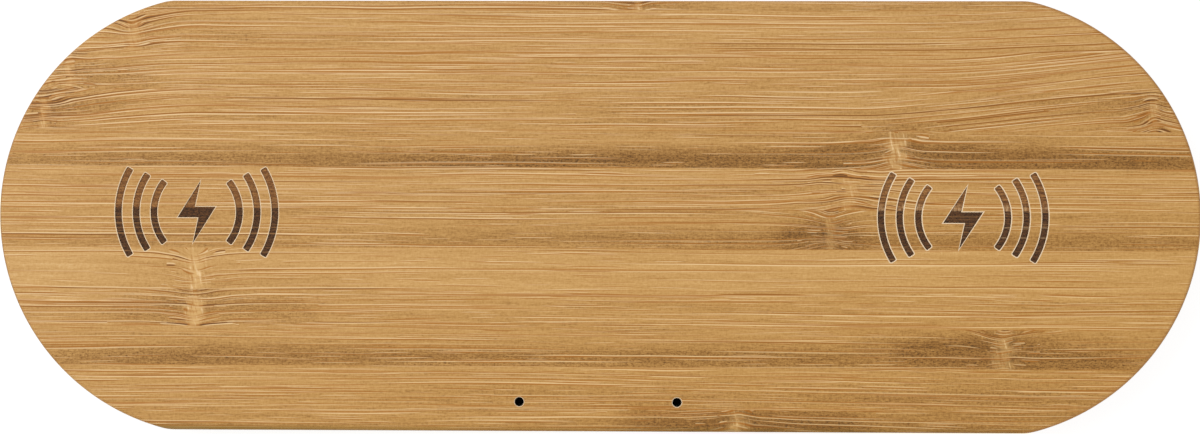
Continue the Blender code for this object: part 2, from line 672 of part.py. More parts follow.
def build_socket():
    """The socket's metal shell with its four ears, and the tongue inside it. Both are made facing up."""
    outer = rounded_rectangle(SOCKET_WIDTH, SOCKET_HEIGHT, SOCKET_CORNER, CORNER_STEPS)
    bore = (SOCKET_WIDTH - 2 * SOCKET_WALL, SOCKET_HEIGHT - 2 * SOCKET_WALL, SOCKET_CORNER - SOCKET_WALL)
    tube = plate_mesh([outer, rounded_rectangle(*bore, CORNER_STEPS)], SOCKET_DEPTH)
    shell = add_object("usb_shell", tube, SOCKET_METAL, (0, SOCKET_BACK, SOCKET_Z))
    shell.rotation_euler.x = math.pi / 2
    ear = box_mesh((EAR_REACH + EAR_BITE, EAR_LENGTH, EAR_THICKNESS))
    ear_x = SOCKET_WIDTH / 2 + (EAR_REACH - EAR_BITE) / 2
    for row, share in enumerate(EAR_PLACE_SHARES):
        for side in (-1, 1):
            place = (side * ear_x, SOCKET_FRONT + share * SOCKET_DEPTH, BOARD_TOP + SEAT_GAP)
            join(shell, add_object(f"ear_{row}_{side}", ear, None, place))
    gap = SOCKET_INNER_GAP
    inner = rounded_rectangle(bore[0] - 2 * gap, bore[1] - 2 * gap, bore[2] - gap, CORNER_STEPS)
    base = plate_mesh([inner], TONGUE_BASE_DEPTH)
    tongue = add_object("usb_tongue", base, SOCKET_PLASTIC, (0, SOCKET_BACK, SOCKET_Z))
    tongue.rotation_euler.x = math.pi / 2
    blade = box_mesh((TONGUE_WIDTH, TONGUE_LENGTH + JOIN_BITE, TONGUE_THICKNESS))
    blade_y = SOCKET_BACK - TONGUE_BASE_DEPTH + (JOIN_BITE - TONGUE_LENGTH) / 2
    join(tongue, add_object("blade", blade, None, (0, blade_y, SOCKET_Z - TONGUE_THICKNESS / 2)))


def build_lights():
    """The two status lights, each under its hole, in a black sleeve that keeps its light from the bay."""
    floor = BOARD_TOP + SEAT_GAP
    sleeve_height = BAY_CEILING - SEAT_GAP - floor
    loops = [circle((0, 0), radius, SMALL_ROUND_STEPS) for radius in (SLEEVE_RADIUS, SLEEVE_BORE_RADIUS)]
    sleeve = shade_round(plate_mesh(loops, sleeve_height))
    for name, (x, y) in light_places().items():
        add_object(f"light_sleeve_{name}", sleeve, SLEEVE_RUBBER, (x, y, floor))
        light = add_object(f"status_light_{name}", box_mesh(LIGHT_BODY), LIGHT_LENS, (x, y, floor))
        lens_height = LIGHT_LENS_HEIGHT + LIGHT_BODY[2] / 2
        lens = cone_mesh(LIGHT_LENS_RADIUS, LIGHT_LENS_RADIUS, lens_height, TINY_ROUND_STEPS)
        join(light, add_object(f"lens_{name}", lens, None, (x, y, floor + LIGHT_BODY[2] / 2)))


def polar(radius, degrees):
    return radius * math.cos(math.radians(degrees)), radius * math.sin(math.radians(degrees))


def smooth_line(points, spacing):
    """Points about this far apart on a smooth curve through the given ones."""
    points = [Vector(p) for p in points]
    points = [2 * points[0] - points[1], *points, 2 * points[-1] - points[-2]]
    line = []
    for a, b, c, d in zip(points, points[1:], points[2:], points[3:]):
        steps = max(1, round((c - b).length / spacing))
        for i in range(steps):
            t = i / steps
            bend = (2 * a - 5 * b + 4 * c - d) * t**2 + (3 * b - a - 3 * c + d) * t**3
            line.append(b + ((c - a) * t + bend) / 2)
    return [*line, points[-2]]


def spiral_line():
    """The winding's points about the coil's middle."""
    line = []
    for i in range(round(COIL_TURNS * POINTS_PER_TURN) + 1):
        turns = i / POINTS_PER_TURN
        radius, degrees = COIL_INNER_RADIUS + COIL_PITCH * turns, COIL_START_DEGREES + 360 * turns
        line.append((*polar(radius, degrees), COIL_Z))
    return line


def run_line(start, end, shares):
    """Points on the way to the board. It keeps the end's side place, and changes height as the shares say."""
    line = []
    for along, climb in shares:
        height = start[2] + climb * (end[2] - start[2])
        line.append((start[0] + along * (end[0] - start[0]), end[1], height))
    return line


def coil_route(x, y, side):
    """The middle line of one coil's wire: from the board under the winding, round it, and back."""
    slot_z = FERRITE_TOP - FERRITE_THICKNESS / 2
    pad_z = BOARD_TOP + SEAT_GAP + WIRE_DIAMETER / 2
    pad_u = abs(x) - BOARD_LENGTH / 2 + SOLDER_INSET
    inner_pad, outer_pad = (pad_u, INNER_LEAD_Y - y, pad_z), (pad_u, OUTER_LEAD_Y - y, pad_z)
    slot_mouth = (*polar(FERRITE_RADIUS, FERRITE_SLOT_DEGREES), slot_z)
    inner_lead = run_line(slot_mouth, inner_pad, INNER_RUN_SHARES)[::-1] + [slot_mouth]
    for share, degrees, climb in INNER_CURL_SHARES:
        place = polar(share * COIL_INNER_RADIUS, FERRITE_SLOT_DEGREES + degrees)
        inner_lead.append((*place, slot_z + climb * (COIL_Z - slot_z)))
    spiral = spiral_line()
    last = COIL_START_DEGREES + 360 * COIL_TURNS
    outer_lead = []
    for share, degrees in OUTER_CURL_SHARES:
        outer_lead.append((*polar(share * COIL_OUTER_RADIUS, last + degrees), COIL_Z))
    outer_lead += run_line(outer_lead[-1], outer_pad, OUTER_RUN_SHARES)
    way_in = smooth_line([*inner_lead, spiral[0]], LEAD_POINT_SPACING)[:-1]
    way_out = smooth_line([spiral[-1], *outer_lead], LEAD_POINT_SPACING)[1:]
    return [Vector((x + side * p[0], y + p[1], p[2])) for p in [*way_in, *spiral, *way_out]]


def least_gap(route):
    """The wire's least gap to itself, between places over 4 diameters apart along it, and its length."""
    dense = []
    for a, b in zip(route, route[1:]):
        steps = math.ceil((b - a).length / WIRE_DIAMETER)
        dense += [a.lerp(b, i / steps) for i in range(steps)]
    dense = np.array([*dense, route[-1]])
    along = np.concatenate([[0], np.cumsum(np.linalg.norm(np.diff(dense, axis=0), axis=1))])
    away = np.linalg.norm(dense[:, None] - dense[None], axis=2)
    apart = np.abs(along[:, None] - along[None]) > 4 * WIRE_DIAMETER
    return away[apart].min() - WIRE_DIAMETER, along[-1]


def build_coil(name, x, y, side):
    route = coil_route(x, y, side)
    wire = bpy.data.curves.new(f"charging_coil_{name}", "CURVE")
    wire.dimensions = "3D"
    wire.bevel_depth = WIRE_DIAMETER / 2
    wire.bevel_resolution = 1
    wire.use_fill_caps = True
    spline = wire.splines.new("POLY")
    spline.points.add(len(route) - 1)
    for point, place in zip(spline.points, route):
        point.co = (*place, 1)
    add_object(f"charging_coil_{name}", wire, COPPER_WIRE)
    gap, length = least_gap(route)
    print(f"charging_coil_{name}: least gap {gap / MM:.2f} mm, wire {length:.3f} m, {len(route)} points")


def build_coil_stack(name, x, y, side):
    """What holds a coil: tape to the roof, and under it a ferrite disc on a foam pad on the cover."""
    tape_radius = COIL_OUTER_RADIUS - TAPE_INSET
    tape = cone_mesh(tape_radius, tape_radius, TAPE_THICKNESS, LARGE_ROUND_STEPS)
    add_object(f"coil_tape_{name}", tape, TAPE, (x, y, TAPE_TOP - TAPE_THICKNESS))
    disc = cone_mesh(FERRITE_RADIUS, FERRITE_RADIUS, FERRITE_THICKNESS, LARGE_ROUND_STEPS)
    ferrite = add_object(f"ferrite_shield_{name}", disc, FERRITE, (x, y, FERRITE_BOTTOM))
    slot_length = FERRITE_RADIUS + CUT_OVERRUN - FERRITE_SLOT_START
    slot = box_mesh((slot_length, FERRITE_SLOT_WIDTH, FERRITE_THICKNESS + 2 * CUT_OVERRUN))
    slot.transform(Matrix.Translation((FERRITE_SLOT_START + slot_length / 2, 0, 0)))
    cutter = add_object(f"ferrite_slot_{name}", slot, None, (x, y, FERRITE_BOTTOM - CUT_OVERRUN))
    slot_angle = math.radians(FERRITE_SLOT_DEGREES)
    cutter.rotation_euler.z = slot_angle if side > 0 else math.pi - slot_angle
    cut(ferrite, cutter)
    foam_bottom = COVER_TOP + SEAT_GAP
    foam_height = FERRITE_BOTTOM - SEAT_GAP - foam_bottom
    foam_mesh = cone_mesh(FOAM_RADIUS, FOAM_RADIUS, foam_height, LARGE_ROUND_STEPS)
    foam = add_object(f"foam_pad_{name}", foam_mesh, FOAM, (x, y, foam_bottom))
    round_edges(foam, FOAM_EDGE)


def controller_mesh():
    """A flat square package with a dimple at its first pin."""
    chip = add_object("chip", box_mesh(CONTROLLER_SIZE), None)
    round_edges(chip, PART_EDGE)
    corner = [-size / 2 + CONTROLLER_DIMPLE_INSET for size in CONTROLLER_SIZE[:2]]
    radius = CONTROLLER_DIMPLE_RADIUS
    dimple_mesh = cone_mesh(radius, radius, CONTROLLER_DIMPLE_DEPTH + CUT_OVERRUN, TINY_ROUND_STEPS)
    place = (*corner, CONTROLLER_SIZE[2] - CONTROLLER_DIMPLE_DEPTH)
    dimple = add_object("dimple", dimple_mesh, None, place)
    cut(chip, dimple)
    return finished_mesh(chip, [dimple])


def lead_mesh():
    """One bent lead, drawn from the side: out of the body, down, and out along the board."""
    t, reach = TRANSISTOR_LEAD_THICKNESS, TRANSISTOR_LEAD_REACH
    middle = TRANSISTOR_SIZE[2] / 2
    outline = [(-JOIN_BITE, middle), (reach / 2 - t, middle), (reach / 2 - t, 0), (reach, 0)]
    outline += [(reach, t), (reach / 2, t), (reach / 2, middle + t), (-JOIN_BITE, middle + t)]
    mesh = plate_mesh([outline], TRANSISTOR_LEAD_WIDTH)
    mesh.transform(Matrix.Translation((0, 0, -TRANSISTOR_LEAD_WIDTH / 2)))
    mesh.transform(Matrix.Rotation(math.pi / 2, 4, "X"))
    return mesh


def transistor_mesh():
    """A small power package with a row of bent leads on each side."""
    body = add_object("body", box_mesh(TRANSISTOR_SIZE), None)
    round_edges(body, PART_EDGE)
    lead = lead_mesh()
    leads = []
    for side in (-1, 1):
        for i in range(TRANSISTOR_LEADS_A_SIDE):
            y = (i - (TRANSISTOR_LEADS_A_SIDE - 1) / 2) * TRANSISTOR_LEAD_PITCH
            leads.append(add_object(f"lead_{side}_{i}", lead, None, (side * TRANSISTOR_SIZE[0] / 2, y, 0)))
            leads[-1].rotation_euler.z = 0 if side > 0 else math.pi
            join(body, leads[-1])
    return finished_mesh(body, leads)


def ceramic_mesh():
    """A ceramic capacitor: a block with a slightly larger metal cap at each end."""
    body = add_object("body", box_mesh(CERAMIC_SIZE), None)
    grown = [size + 2 * CERAMIC_END_STEP for size in CERAMIC_SIZE]
    caps = []
    for side in (-1, 1):
        x = side * (grown[0] - CERAMIC_END_LENGTH) / 2
        cap = box_mesh((CERAMIC_END_LENGTH, *grown[1:]))
        caps.append(add_object(f"cap_{side}", cap, None, (x, 0, -CERAMIC_END_STEP)))
        join(body, caps[-1])
    mesh = finished_mesh(body, caps)
    mesh.transform(Matrix.Translation((0, 0, CERAMIC_END_STEP)))
    return mesh


def tantalum_mesh():
    """A moulded capacitor with a metal tab at each end."""
    body = add_object("body", box_mesh(TANTALUM_SIZE), None)
    round_edges(body, PART_EDGE)
    tab = box_mesh((TANTALUM_TAB_WIDTH, TANTALUM_SIZE[1] + 2 * TANTALUM_TAB_REACH, TANTALUM_TAB_HEIGHT))
    tabs = add_object("tabs", tab, None, (0, 0, PART_EDGE))
    join(body, tabs)
    return finished_mesh(body, [tabs])


def inductor_mesh():
    """A shielded inductor: a square block with its round core showing on top."""
    body = add_object("body", box_mesh(INDUCTOR_SIZE), None)
    round_edges(body, 2 * PART_EDGE)
    height = INDUCTOR_SIZE[2] / 2 + INDUCTOR_CORE_HEIGHT
    core_mesh = cone_mesh(INDUCTOR_CORE_RADIUS, INDUCTOR_CORE_RADIUS, height, SMALL_ROUND_STEPS)
    core = add_object("core", core_mesh, None, (0, 0, INDUCTOR_SIZE[2] / 2))
    join(body, core)
    return finished_mesh(body, [core])


def on_board(name, mesh, material, shares, side):
    x = side * shares[0] * BOARD_LENGTH / 2
    y = BOARD_FRONT + shares[1] * BOARD_DEPTH
    return add_object(name, mesh, material, (x, y, BOARD_TOP + PART_GAP))


def build_board_parts():
    controller, transistor = controller_mesh(), transistor_mesh()
    ceramic, tantalum = ceramic_mesh(), tantalum_mesh()
    for name, side in (("left", -1), ("right", 1)):
        on_board(f"controller_chip_{name}", controller, CHIP_PLASTIC, CONTROLLER_PLACE_SHARES, side)
        on_board(f"input_capacitor_{name}", tantalum, TANTALUM, TANTALUM_PLACE_SHARES, side)
        for i, shares in enumerate(TRANSISTOR_PLACES_SHARES, 1):
            on_board(f"bridge_transistor_{name}_{i}", transistor, CHIP_PLASTIC, shares, side)
        for i, shares in enumerate(CERAMIC_PLACES_SHARES, 1):
            on_board(f"resonance_capacitor_{name}_{i}", ceramic, CERAMIC, shares, side)
    on_board("input_inductor", inductor_mesh(), CORE_GREY, INDUCTOR_PLACE_SHARES, 1)


def build():
    build_case()
    build_cover()
    build_feet()
    build_cover_screws()
    build_board_screws()
    build_board()
    build_socket()
    build_lights()
    for name, (x, y, side) in COILS.items():
        build_coil(name, x, y, side)
        build_coil_stack(name, x, y, side)
    build_board_parts()


build()
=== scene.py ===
"""Looks for the flat bamboo charging pad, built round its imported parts.

Lengths are in metres, or in mm where a comment says so. +Z is up and the front, with the charging
socket, faces -Y. The camera looks down on the pad, as in the photograph.
"""

import math

import bmesh
import bpy
from mathutils import Matrix, Vector


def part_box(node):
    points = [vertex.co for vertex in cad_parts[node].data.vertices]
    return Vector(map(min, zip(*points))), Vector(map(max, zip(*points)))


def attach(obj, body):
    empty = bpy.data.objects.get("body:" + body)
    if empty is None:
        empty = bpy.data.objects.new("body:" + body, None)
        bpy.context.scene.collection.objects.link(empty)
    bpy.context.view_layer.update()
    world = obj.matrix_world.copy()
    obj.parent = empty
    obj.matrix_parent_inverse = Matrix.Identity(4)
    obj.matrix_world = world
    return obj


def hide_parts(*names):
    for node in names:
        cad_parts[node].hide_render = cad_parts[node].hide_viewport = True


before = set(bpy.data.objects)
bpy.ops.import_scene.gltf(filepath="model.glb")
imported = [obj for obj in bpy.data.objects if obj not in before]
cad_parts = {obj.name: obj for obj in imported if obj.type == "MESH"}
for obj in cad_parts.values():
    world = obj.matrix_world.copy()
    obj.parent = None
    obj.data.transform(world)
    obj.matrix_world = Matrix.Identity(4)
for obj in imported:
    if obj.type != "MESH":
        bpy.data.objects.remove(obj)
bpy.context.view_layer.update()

MM = 0.001
SIDES = ("left", "right")

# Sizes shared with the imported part: the case
CASE_LENGTH = 240 * MM
CASE_WIDTH = 86 * MM
CASE_HEIGHT = 11 * MM
END_RADIUS = 44.15 * MM
END_ARC_X = CASE_LENGTH / 2 - END_RADIUS
CORNER_BLEND = 10 * MM
EDGE_ROUND = 0.8 * MM
RIM_WIDTH = 2.6 * MM
SEAT_GAP = 0.3 * MM
CUT_OVERRUN = 1.0 * MM
JOIN_BITE = 0.5 * MM
CASE_BOTTOM = 1.0 * MM
CASE_TOP = CASE_BOTTOM + CASE_HEIGHT
COIL_CEILING = 9.6 * MM
BAY_CEILING = 10.0 * MM
CHANNEL_CEILING = 9.2 * MM
CHANNEL_WIDTH = 12 * MM
POCKET_CLEARANCE = 1.5 * MM
BAY_FRONT = -40.2 * MM
BOARD_SIDE_GAP = 0.4 * MM
LIGHT_HOLE_RADIUS = 0.91 * MM
PORT_MARGIN_SIDE = 2.0 * MM
PORT_MARGIN_HEIGHT = 1.7 * MM
PORT_CORNER = 1.5 * MM
PORT_EASE = 0.35 * MM

# The cover, its feet and the screws
COVER_GAP = 0.3 * MM
COVER_TOP = 3.0 * MM
COVER_EDGE = 0.3 * MM
LEDGE = COVER_TOP + COVER_GAP
BOSS_RADIUS = 2.5 * MM
PAD_RING_INNER = 18.6 * MM
PAD_RING_WALL = 1.2 * MM
PAD_RING_HEIGHT = 1.2 * MM
PILOT_GAP = 0.15 * MM
FOOT_EDGE = 0.45 * MM
FOOT_HOLLOW = 0.06 * MM
FOOT_HOLLOW_SHARES = (0.5, 0.7)
FOOT_SEAT_DEPTH = 0.8 * MM
SCREW_HEAD_HEIGHT = 1.2 * MM
COUNTERSUNK_EDGE = 0.08 * MM
COUNTERSUNK_EDGE_TOP = 0.05 * MM
COUNTERSUNK_RIM_TOP = 0.15 * MM
COVER_SCREW_RADIUS = 1.3 * MM
COVER_SCREW_POINT = 1.6 * MM
COVER_THREAD_GAP = 0.2 * MM
BOARD_SCREW_RADIUS = 0.9 * MM
BOARD_SCREW_POINT = 0.5 * MM
BOARD_THREAD_GAP = 0.1 * MM
# The points' rings: a share of the shank's radius, and of the point's length from the screw's end
COVER_POINT_SHARES = ((0.5, 0.5), (0.12, 0))
BOARD_POINT_SHARES = ((0.15, 0), (0.8, 1))
PAN_SIDE_SHARE = 0.45
PAN_DOME_SHARES = (0.25, 0.5, 0.75, 1.0)
THREAD_DEPTH = 0.22 * MM
THREAD_PITCH = 0.9 * MM
THREAD_SLOPE = 3
THREAD_FADE_SHARE = 1 / 8
DRIVE_LENGTH = 2.2 * MM
DRIVE_WIDTH = 0.5 * MM
DRIVE_DEPTH = 0.7 * MM
DRIVE_FLOOR_SHARE = 0.72
DRIVE_FLOOR_CORNER = 0.05 * MM
DRIVE_MOUTH_CORNER = 0.07 * MM

# The charging socket
SOCKET_WIDTH = 8.94 * MM
SOCKET_HEIGHT = 3.26 * MM
SOCKET_WALL = 0.3 * MM
SOCKET_CORNER = 1.3 * MM
SOCKET_INNER_GAP = 0.1 * MM
EAR_LENGTH = 1.1 * MM
EAR_THICKNESS = 0.3 * MM
EAR_BITE = 0.2 * MM
EAR_PLACE_SHARES = (0.36, 0.84)
TONGUE_WIDTH = 6.7 * MM
TONGUE_THICKNESS = 0.7 * MM
TONGUE_CORNER = 0.18 * MM
TONGUE_BASE_DEPTH = 1.6 * MM
TONGUE_TIP = 0.5 * MM
TONGUE_TIP_TAPER = 0.15 * MM
CONTACTS = 12
CONTACT_PITCH = 0.5 * MM
CONTACT_WIDTH = 0.26 * MM
CONTACT_LENGTH = 3.6 * MM
CONTACT_HEIGHT = 0.03 * MM
CONTACT_INSET = 0.7 * MM

# The charging coils and what holds them
COIL_TURNS = 9 + 2 / 3
COIL_INNER_RADIUS = 10.5 * MM
COIL_PITCH = 1.15 * MM
COIL_START_DEGREES = 70
COIL_POINTS_PER_TURN = 72
WIRE_RADIUS = 0.35 * MM
STRANDS = 7
STRAND_DEPTH_SHARE = 0.14
STRAND_TWIST = 30 * MM
LEAD_POINT_SPACING = 0.8 * MM
# A lead's curl at the winding: the radius's share, degrees on, and for the inner one the climb's share
INNER_CURL_SHARES = (
    (1.15, 0, 0.0),
    (0.97, 0, 0.1),
    (0.80, 0, 0.5),
    (0.68, 2, 0.9),
    (0.60, 12, 1.0),
    (0.60, 32, 1.0),
    (0.69, 52, 1.0),
    (0.81, 67, 1.0),
    (0.92, 79, 1.0),
)
OUTER_CURL_SHARES = ((1.035, 8), (1.075, 15))
# A lead's run to the board: shares of the way and of the climb
INNER_RUN_SHARES = ((0.2, 0.0), (0.55, 0.6), (0.85, 1.0), (1.0, 1.0))
OUTER_RUN_SHARES = ((0.08, 0.02), (0.2, 0.15), (0.55, 0.75), (0.85, 1.0), (1.0, 1.0))
FERRITE_SLOT_DEGREES = -20
SOLDER_INSET = 2.0 * MM
INNER_LEAD_Y = -8.0 * MM
OUTER_LEAD_Y = -12.0 * MM
SLEEVE_BORE_RADIUS = 1.35 * MM
SLEEVE_EDGE = 0.12 * MM
FOAM_BULGE = 0.3 * MM
FOAM_EDGE = 0.5 * MM
FOAM_DENT = 0.07 * MM
FOAM_DENT_SPACING = (2.1 * MM, 1.7 * MM)
FOAM_RING_SHARES = (0.15, 0.3, 0.45, 0.6, 0.75, 0.88)
TAPE_RIDGE = 0.05 * MM
TAPE_EDGE = 0.1 * MM
TAPE_MIDDLE = 0.5 * MM

# The engraved mark
MARK_DEPTH = 0.25 * MM
MARK_RIM_DEPTH = 0.08 * MM
HOLE_RIM_WIDTH = 0.15 * MM
MARK_CORNER = 0.25 * MM
MARK_FIRST_RADIUS = 9.85 * MM
MARK_RADIUS_STEP = 3.58 * MM
MARK_CENTRE_SHIFT = 1.25 * MM
MARK_HALF_ANGLES = (math.radians(38.6), math.radians(34.3), math.radians(30.9))
# Each mark's stretch in X, the width of its strokes, and the width of their pale rims
MARKS = {"left": (1.0, 1.34 * MM, 0.17 * MM), "right": (1.035, 1.22 * MM, 0.20 * MM)}
BOLT_WIDTH = 7.6 * MM
BOLT_HEIGHT = 12.5 * MM
BOLT_HALF_OUTLINE_SHARES = ((0.10, 0.50), (-0.05, 0.085), (0.50, 0.085))
MITRE_LIMIT = 0.35

# How finely the shown pieces are divided
END_ARC_STEPS = 96
BLEND_STEPS = 8
ROUND_STEPS = 6
SMALL_ROUND_STEPS = 3
LARGE_STEPS = 96
MIDDLE_STEPS = 48
SMALL_STEPS = 32
THREAD_STEPS = 24
THREAD_RINGS_PER_TURN = 8
MARK_ARC_STEPS = 24
MARK_CORNER_STEPS = 4
DRIVE_CORNER_STEPS = 2
SHARP_ANGLE = math.radians(32)
FOAM_SHARP_ANGLE = math.radians(60)

# Lamps: name, place, size and power. Both aim at the pad's middle
LAMPS = (
    ("key", (-0.55, 0.35, 0.9), (0.9, 0.7), 6.5),
    ("fill", (0.6, -0.6, 0.7), (0.8, 0.6), 2.3),
)
WORLD_LIGHT = 0.55
FLOOR_TONE = (0.8, 0.8, 0.8, 1)
FLOOR_ROUGHNESS = 0.9
FLOOR_GLOW = 0.82
FLOOR_SHADED_TONE = (0.3, 0.3, 0.3, 1)
FLOOR_HALF_WIDTH = 3.0
FLOOR_BACK = 4.0
CAMERA_PLACE = Vector((23.7, -0.4, 709.3)) * MM
CAMERA_TURN = (math.radians(0.024), math.radians(1.898), math.radians(0.163))
CAMERA_LENS = 104.9
CAMERA_SENSOR = 36
CAMERA_CLIP = (0.01, 20)


def centre_of(node):
    low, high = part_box(node)
    return (low + high) / 2


def radius_of(node):
    low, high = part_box(node)
    return (high.x - low.x) / 2


def numbered(start):
    """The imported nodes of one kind, in order."""
    return sorted(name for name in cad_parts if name.startswith(start))


# Fields: numbers that vary over a surface


class Field:
    """A number, vector or colour that varies over a surface. Sums and products become nodes."""

    def __init__(self, socket):
        self.socket = socket

    def __add__(self, other):
        return calculate("ADD", self, other)

    def __sub__(self, other):
        return calculate("SUBTRACT", self, other)

    def __rsub__(self, other):
        return calculate("SUBTRACT", other, self)

    def __mul__(self, other):
        return calculate("MULTIPLY", self, other)

    def __truediv__(self, other):
        return calculate("DIVIDE", self, other)

    __radd__ = __add__
    __rmul__ = __mul__


def feed(socket, value):
    """Links a field to a node's input, or sets the input to a plain value."""
    if isinstance(value, Field):
        socket.id_data.links.new(value.socket, socket)
    else:
        socket.default_value = value


def add_node(kind, inputs, output=0, tree=None, **settings):
    """A new node, as a field of one of its outputs. It goes into the tree of the fields that it takes."""
    if tree is None:
        tree = next(v.socket.id_data for v in inputs.values() if isinstance(v, Field))
    node = tree.nodes.new(f"ShaderNode{kind}")
    for name, value in settings.items():
        setattr(node, name, value)
    for place, value in inputs.items():
        feed(node.inputs[place], value)
    return Field(node.outputs[output])


def calculate(operation, *values, clamp=False):
    return add_node("Math", dict(enumerate(values)), operation=operation, use_clamp=clamp)


def clamped(value):
    return calculate("ADD", value, 0.0, clamp=True)


def larger(first, second):
    return calculate("MAXIMUM", first, second)


def size_without_sign(value):
    return calculate("ABSOLUTE", value)


def whole(value):
    return calculate("FLOOR", value)


def rest_of(value):
    return calculate("FRACT", value)


def same(value, number):
    """1 where the value is this number."""
    return calculate("COMPARE", value, number, 0.4)


def bell(value):
    """1 where the value is 0, falling smoothly to nothing at about 2 and -2."""
    return calculate("EXPONENT", value * value * -1.0)


def peak(value):
    """1 where the value is 0, falling in straight lines to 0 at 1 and -1."""
    return calculate("SUBTRACT", 1.0, size_without_sign(value), clamp=True)


def step_between(value, low, high):
    """0 below low, 1 above high, and a smooth step between. With low above high it falls."""
    inputs = {"Value": value, "From Min": min(low, high), "From Max": max(low, high)}
    step = add_node("MapRange", inputs, "Result", interpolation_type="SMOOTHSTEP")
    return step if low < high else 1.0 - step


def vector(*parts):
    return add_node("CombineXYZ", dict(enumerate(parts)))


def parts_of(value, kind="SeparateXYZ"):
    node = add_node(kind, {0: value}).socket.node
    return [Field(output) for output in node.outputs]


def noise(place, detail=2.0, roughness=0.5):
    """Smooth noise about 0, mostly from -0.3 to 0.3. The place is its three coordinates."""
    inputs = {"Vector": vector(*place), "Scale": 1.0, "Detail": detail, "Roughness": roughness}
    return add_node("TexNoise", inputs, "Fac") - 0.5


def dice(*place):
    """Three random numbers from 0 to 1 for each whole place."""
    return parts_of(add_node("TexWhiteNoise", {"Vector": vector(*place)}, "Color"))


def nearest(place, randomness=1.0, feature="F1"):
    """The distance to the nearest of many scattered points, or to the edge of its cell."""
    inputs = {"Vector": vector(*place), "Scale": 1.0, "Randomness": randomness}
    return add_node("TexVoronoi", inputs, "Distance", feature=feature)


def blended(share, first, second, how="MIX"):
    """A colour that goes from the first to the second as the share goes from 0 to 1."""
    first, second = (c if isinstance(c, Field) else (*c, 1.0) for c in (first, second))
    # The mix node's inputs 6 and 7 and its output 2 are the ones for colours
    inputs = {0: share, 6: first, 7: second}
    return add_node("Mix", inputs, 2, data_type="RGBA", blend_type=how, clamp_factor=True)


def ramp(value, stops, interpolation="LINEAR"):
    """A colour read off a scale: stops are pairs of a place from 0 to 1 and a colour."""
    colour = add_node("ValToRGB", {"Fac": value}, "Color")
    scale = colour.socket.node.color_ramp
    scale.interpolation = interpolation
    while len(scale.elements) < len(stops):
        scale.elements.new(1.0)
    for element, (place, shown) in zip(scale.elements, stops):
        element.position = place
        element.color = (*shown, 1.0)
    return colour


def shade(red, green, blue):
    """A colour as a screen shows it, from 0 to 255, turned into the light that a shader needs."""
    channels = []
    for value in (red, green, blue):
        share = value / 255
        channels.append(share / 12.92 if share <= 0.04045 else ((share + 0.055) / 1.055) ** 2.4)
    return tuple(channels)


def place_in_mm(tree):
    """The surface's own place, in mm."""
    return [part * (1 / MM) for part in parts_of(add_node("TexCoord", {}, "Object", tree))]


def facing(tree):
    return parts_of(add_node("NewGeometry", {}, "Normal", tree))


# The bamboo board

# Its strips from the back edge to the front: width in mm, tone, share of lines, darkness of the lower side
STRIPS = (
    (1.9, 0.52, 0.60, 0.20),
    (8.2, 0.60, 0.85, 0.10),
    (7.8, 0.57, 0.95, 0.12),
    (8.0, 0.55, 0.95, 0.10),
    (7.4, 0.52, 0.55, 0.85),
    (8.4, 0.56, 1.00, 0.05),
    (7.8, 0.52, 0.50, 0.34),
    (8.4, 0.64, 0.35, 0.00),
    (7.4, 0.57, 0.95, 0.10),
    (7.8, 0.53, 0.60, 0.60),
    (8.4, 0.55, 1.00, 0.10),
    (8.0, 0.49, 0.75, 0.30),
)
STRIP_SLOPE = 0.0018
STRIP_WAVE = 0.25

# Where a strip is darker: its number, place and half length in mm, middle and half height as shares of
# the strip, and how much
DARK_PATCHES = (
    (4, 22, 36, 0.80, 0.30, 0.55),
    (4, 50, 9, 0.72, 0.30, 0.85),
    (4, 69, 8, 0.68, 0.30, 0.70),
    (4, 94, 26, 0.72, 0.34, 0.55),
    (4, 62, 30, 0.40, 0.25, 0.35),
    (4, -18, 26, 0.88, 0.20, 0.45),
    (3, 15, 18, 0.45, 0.35, 0.35),
    (3, 62, 10, 0.88, 0.16, 0.60),
    (9, -38, 52, 0.72, 0.24, 0.35),
    (9, -92, 22, 0.80, 0.24, 0.28),
    (9, 78, 28, 0.40, 0.30, 0.60),
    (9, 72, 13, 0.60, 0.34, 0.90),
    (9, 92, 14, 0.82, 0.22, 0.80),
    (9, 30, 24, 0.70, 0.26, 0.40),
    (6, 62, 76, 0.78, 0.28, 0.40),
    (6, 44, 8, 0.68, 0.34, 0.95),
    (7, -74, 26, 0.85, 0.30, 0.35),
    (8, -74, 24, 0.15, 0.30, 0.35),
    (8, -108, 22, 0.62, 0.30, 0.20),
    (8, -66, 11, 0.60, 0.34, 0.60),
    (8, -90, 7, 0.60, 0.34, 0.55),
    (10, 60, 60, 0.75, 0.25, 0.40),
    (10, 72, 30, 0.45, 0.40, 0.35),
    (11, 16, 12, 0.50, 0.60, 1.00),
    (11, 40, 13, 0.50, 0.55, 0.90),
    (11, 62, 30, 0.42, 0.40, 0.55),
    (11, -60, 34, 0.92, 0.20, 0.45),
    (1, -55, 24, 0.62, 0.20, 0.30),
    (3, 98, 18, 0.30, 0.25, 0.55),
    (2, -97, 9, 0.65, 0.35, 0.60),
    (3, -103, 10, 0.40, 0.30, 0.60),
    (1, -82, 14, 0.50, 0.40, 0.35),
    (11, -8, 22, 0.80, 0.30, 0.35),
    (10, -10, 30, 0.70, 0.35, 0.25),
    (1, 72, 14, 0.22, 0.22, 0.35),
)

# Where the fibres rise to the right: first and last strip, from and to in mm, and how far
RISES = (
    (0.5, 1.5, 60, 112, 1.4),
    (1.5, 2.5, 66, 118, 4.2),
    (2.5, 3.5, 50, 104, 4.4),
    (0.5, 3.5, -116, -80, 2.2),
    (9.5, 11.5, 20, 90, -0.8),
)

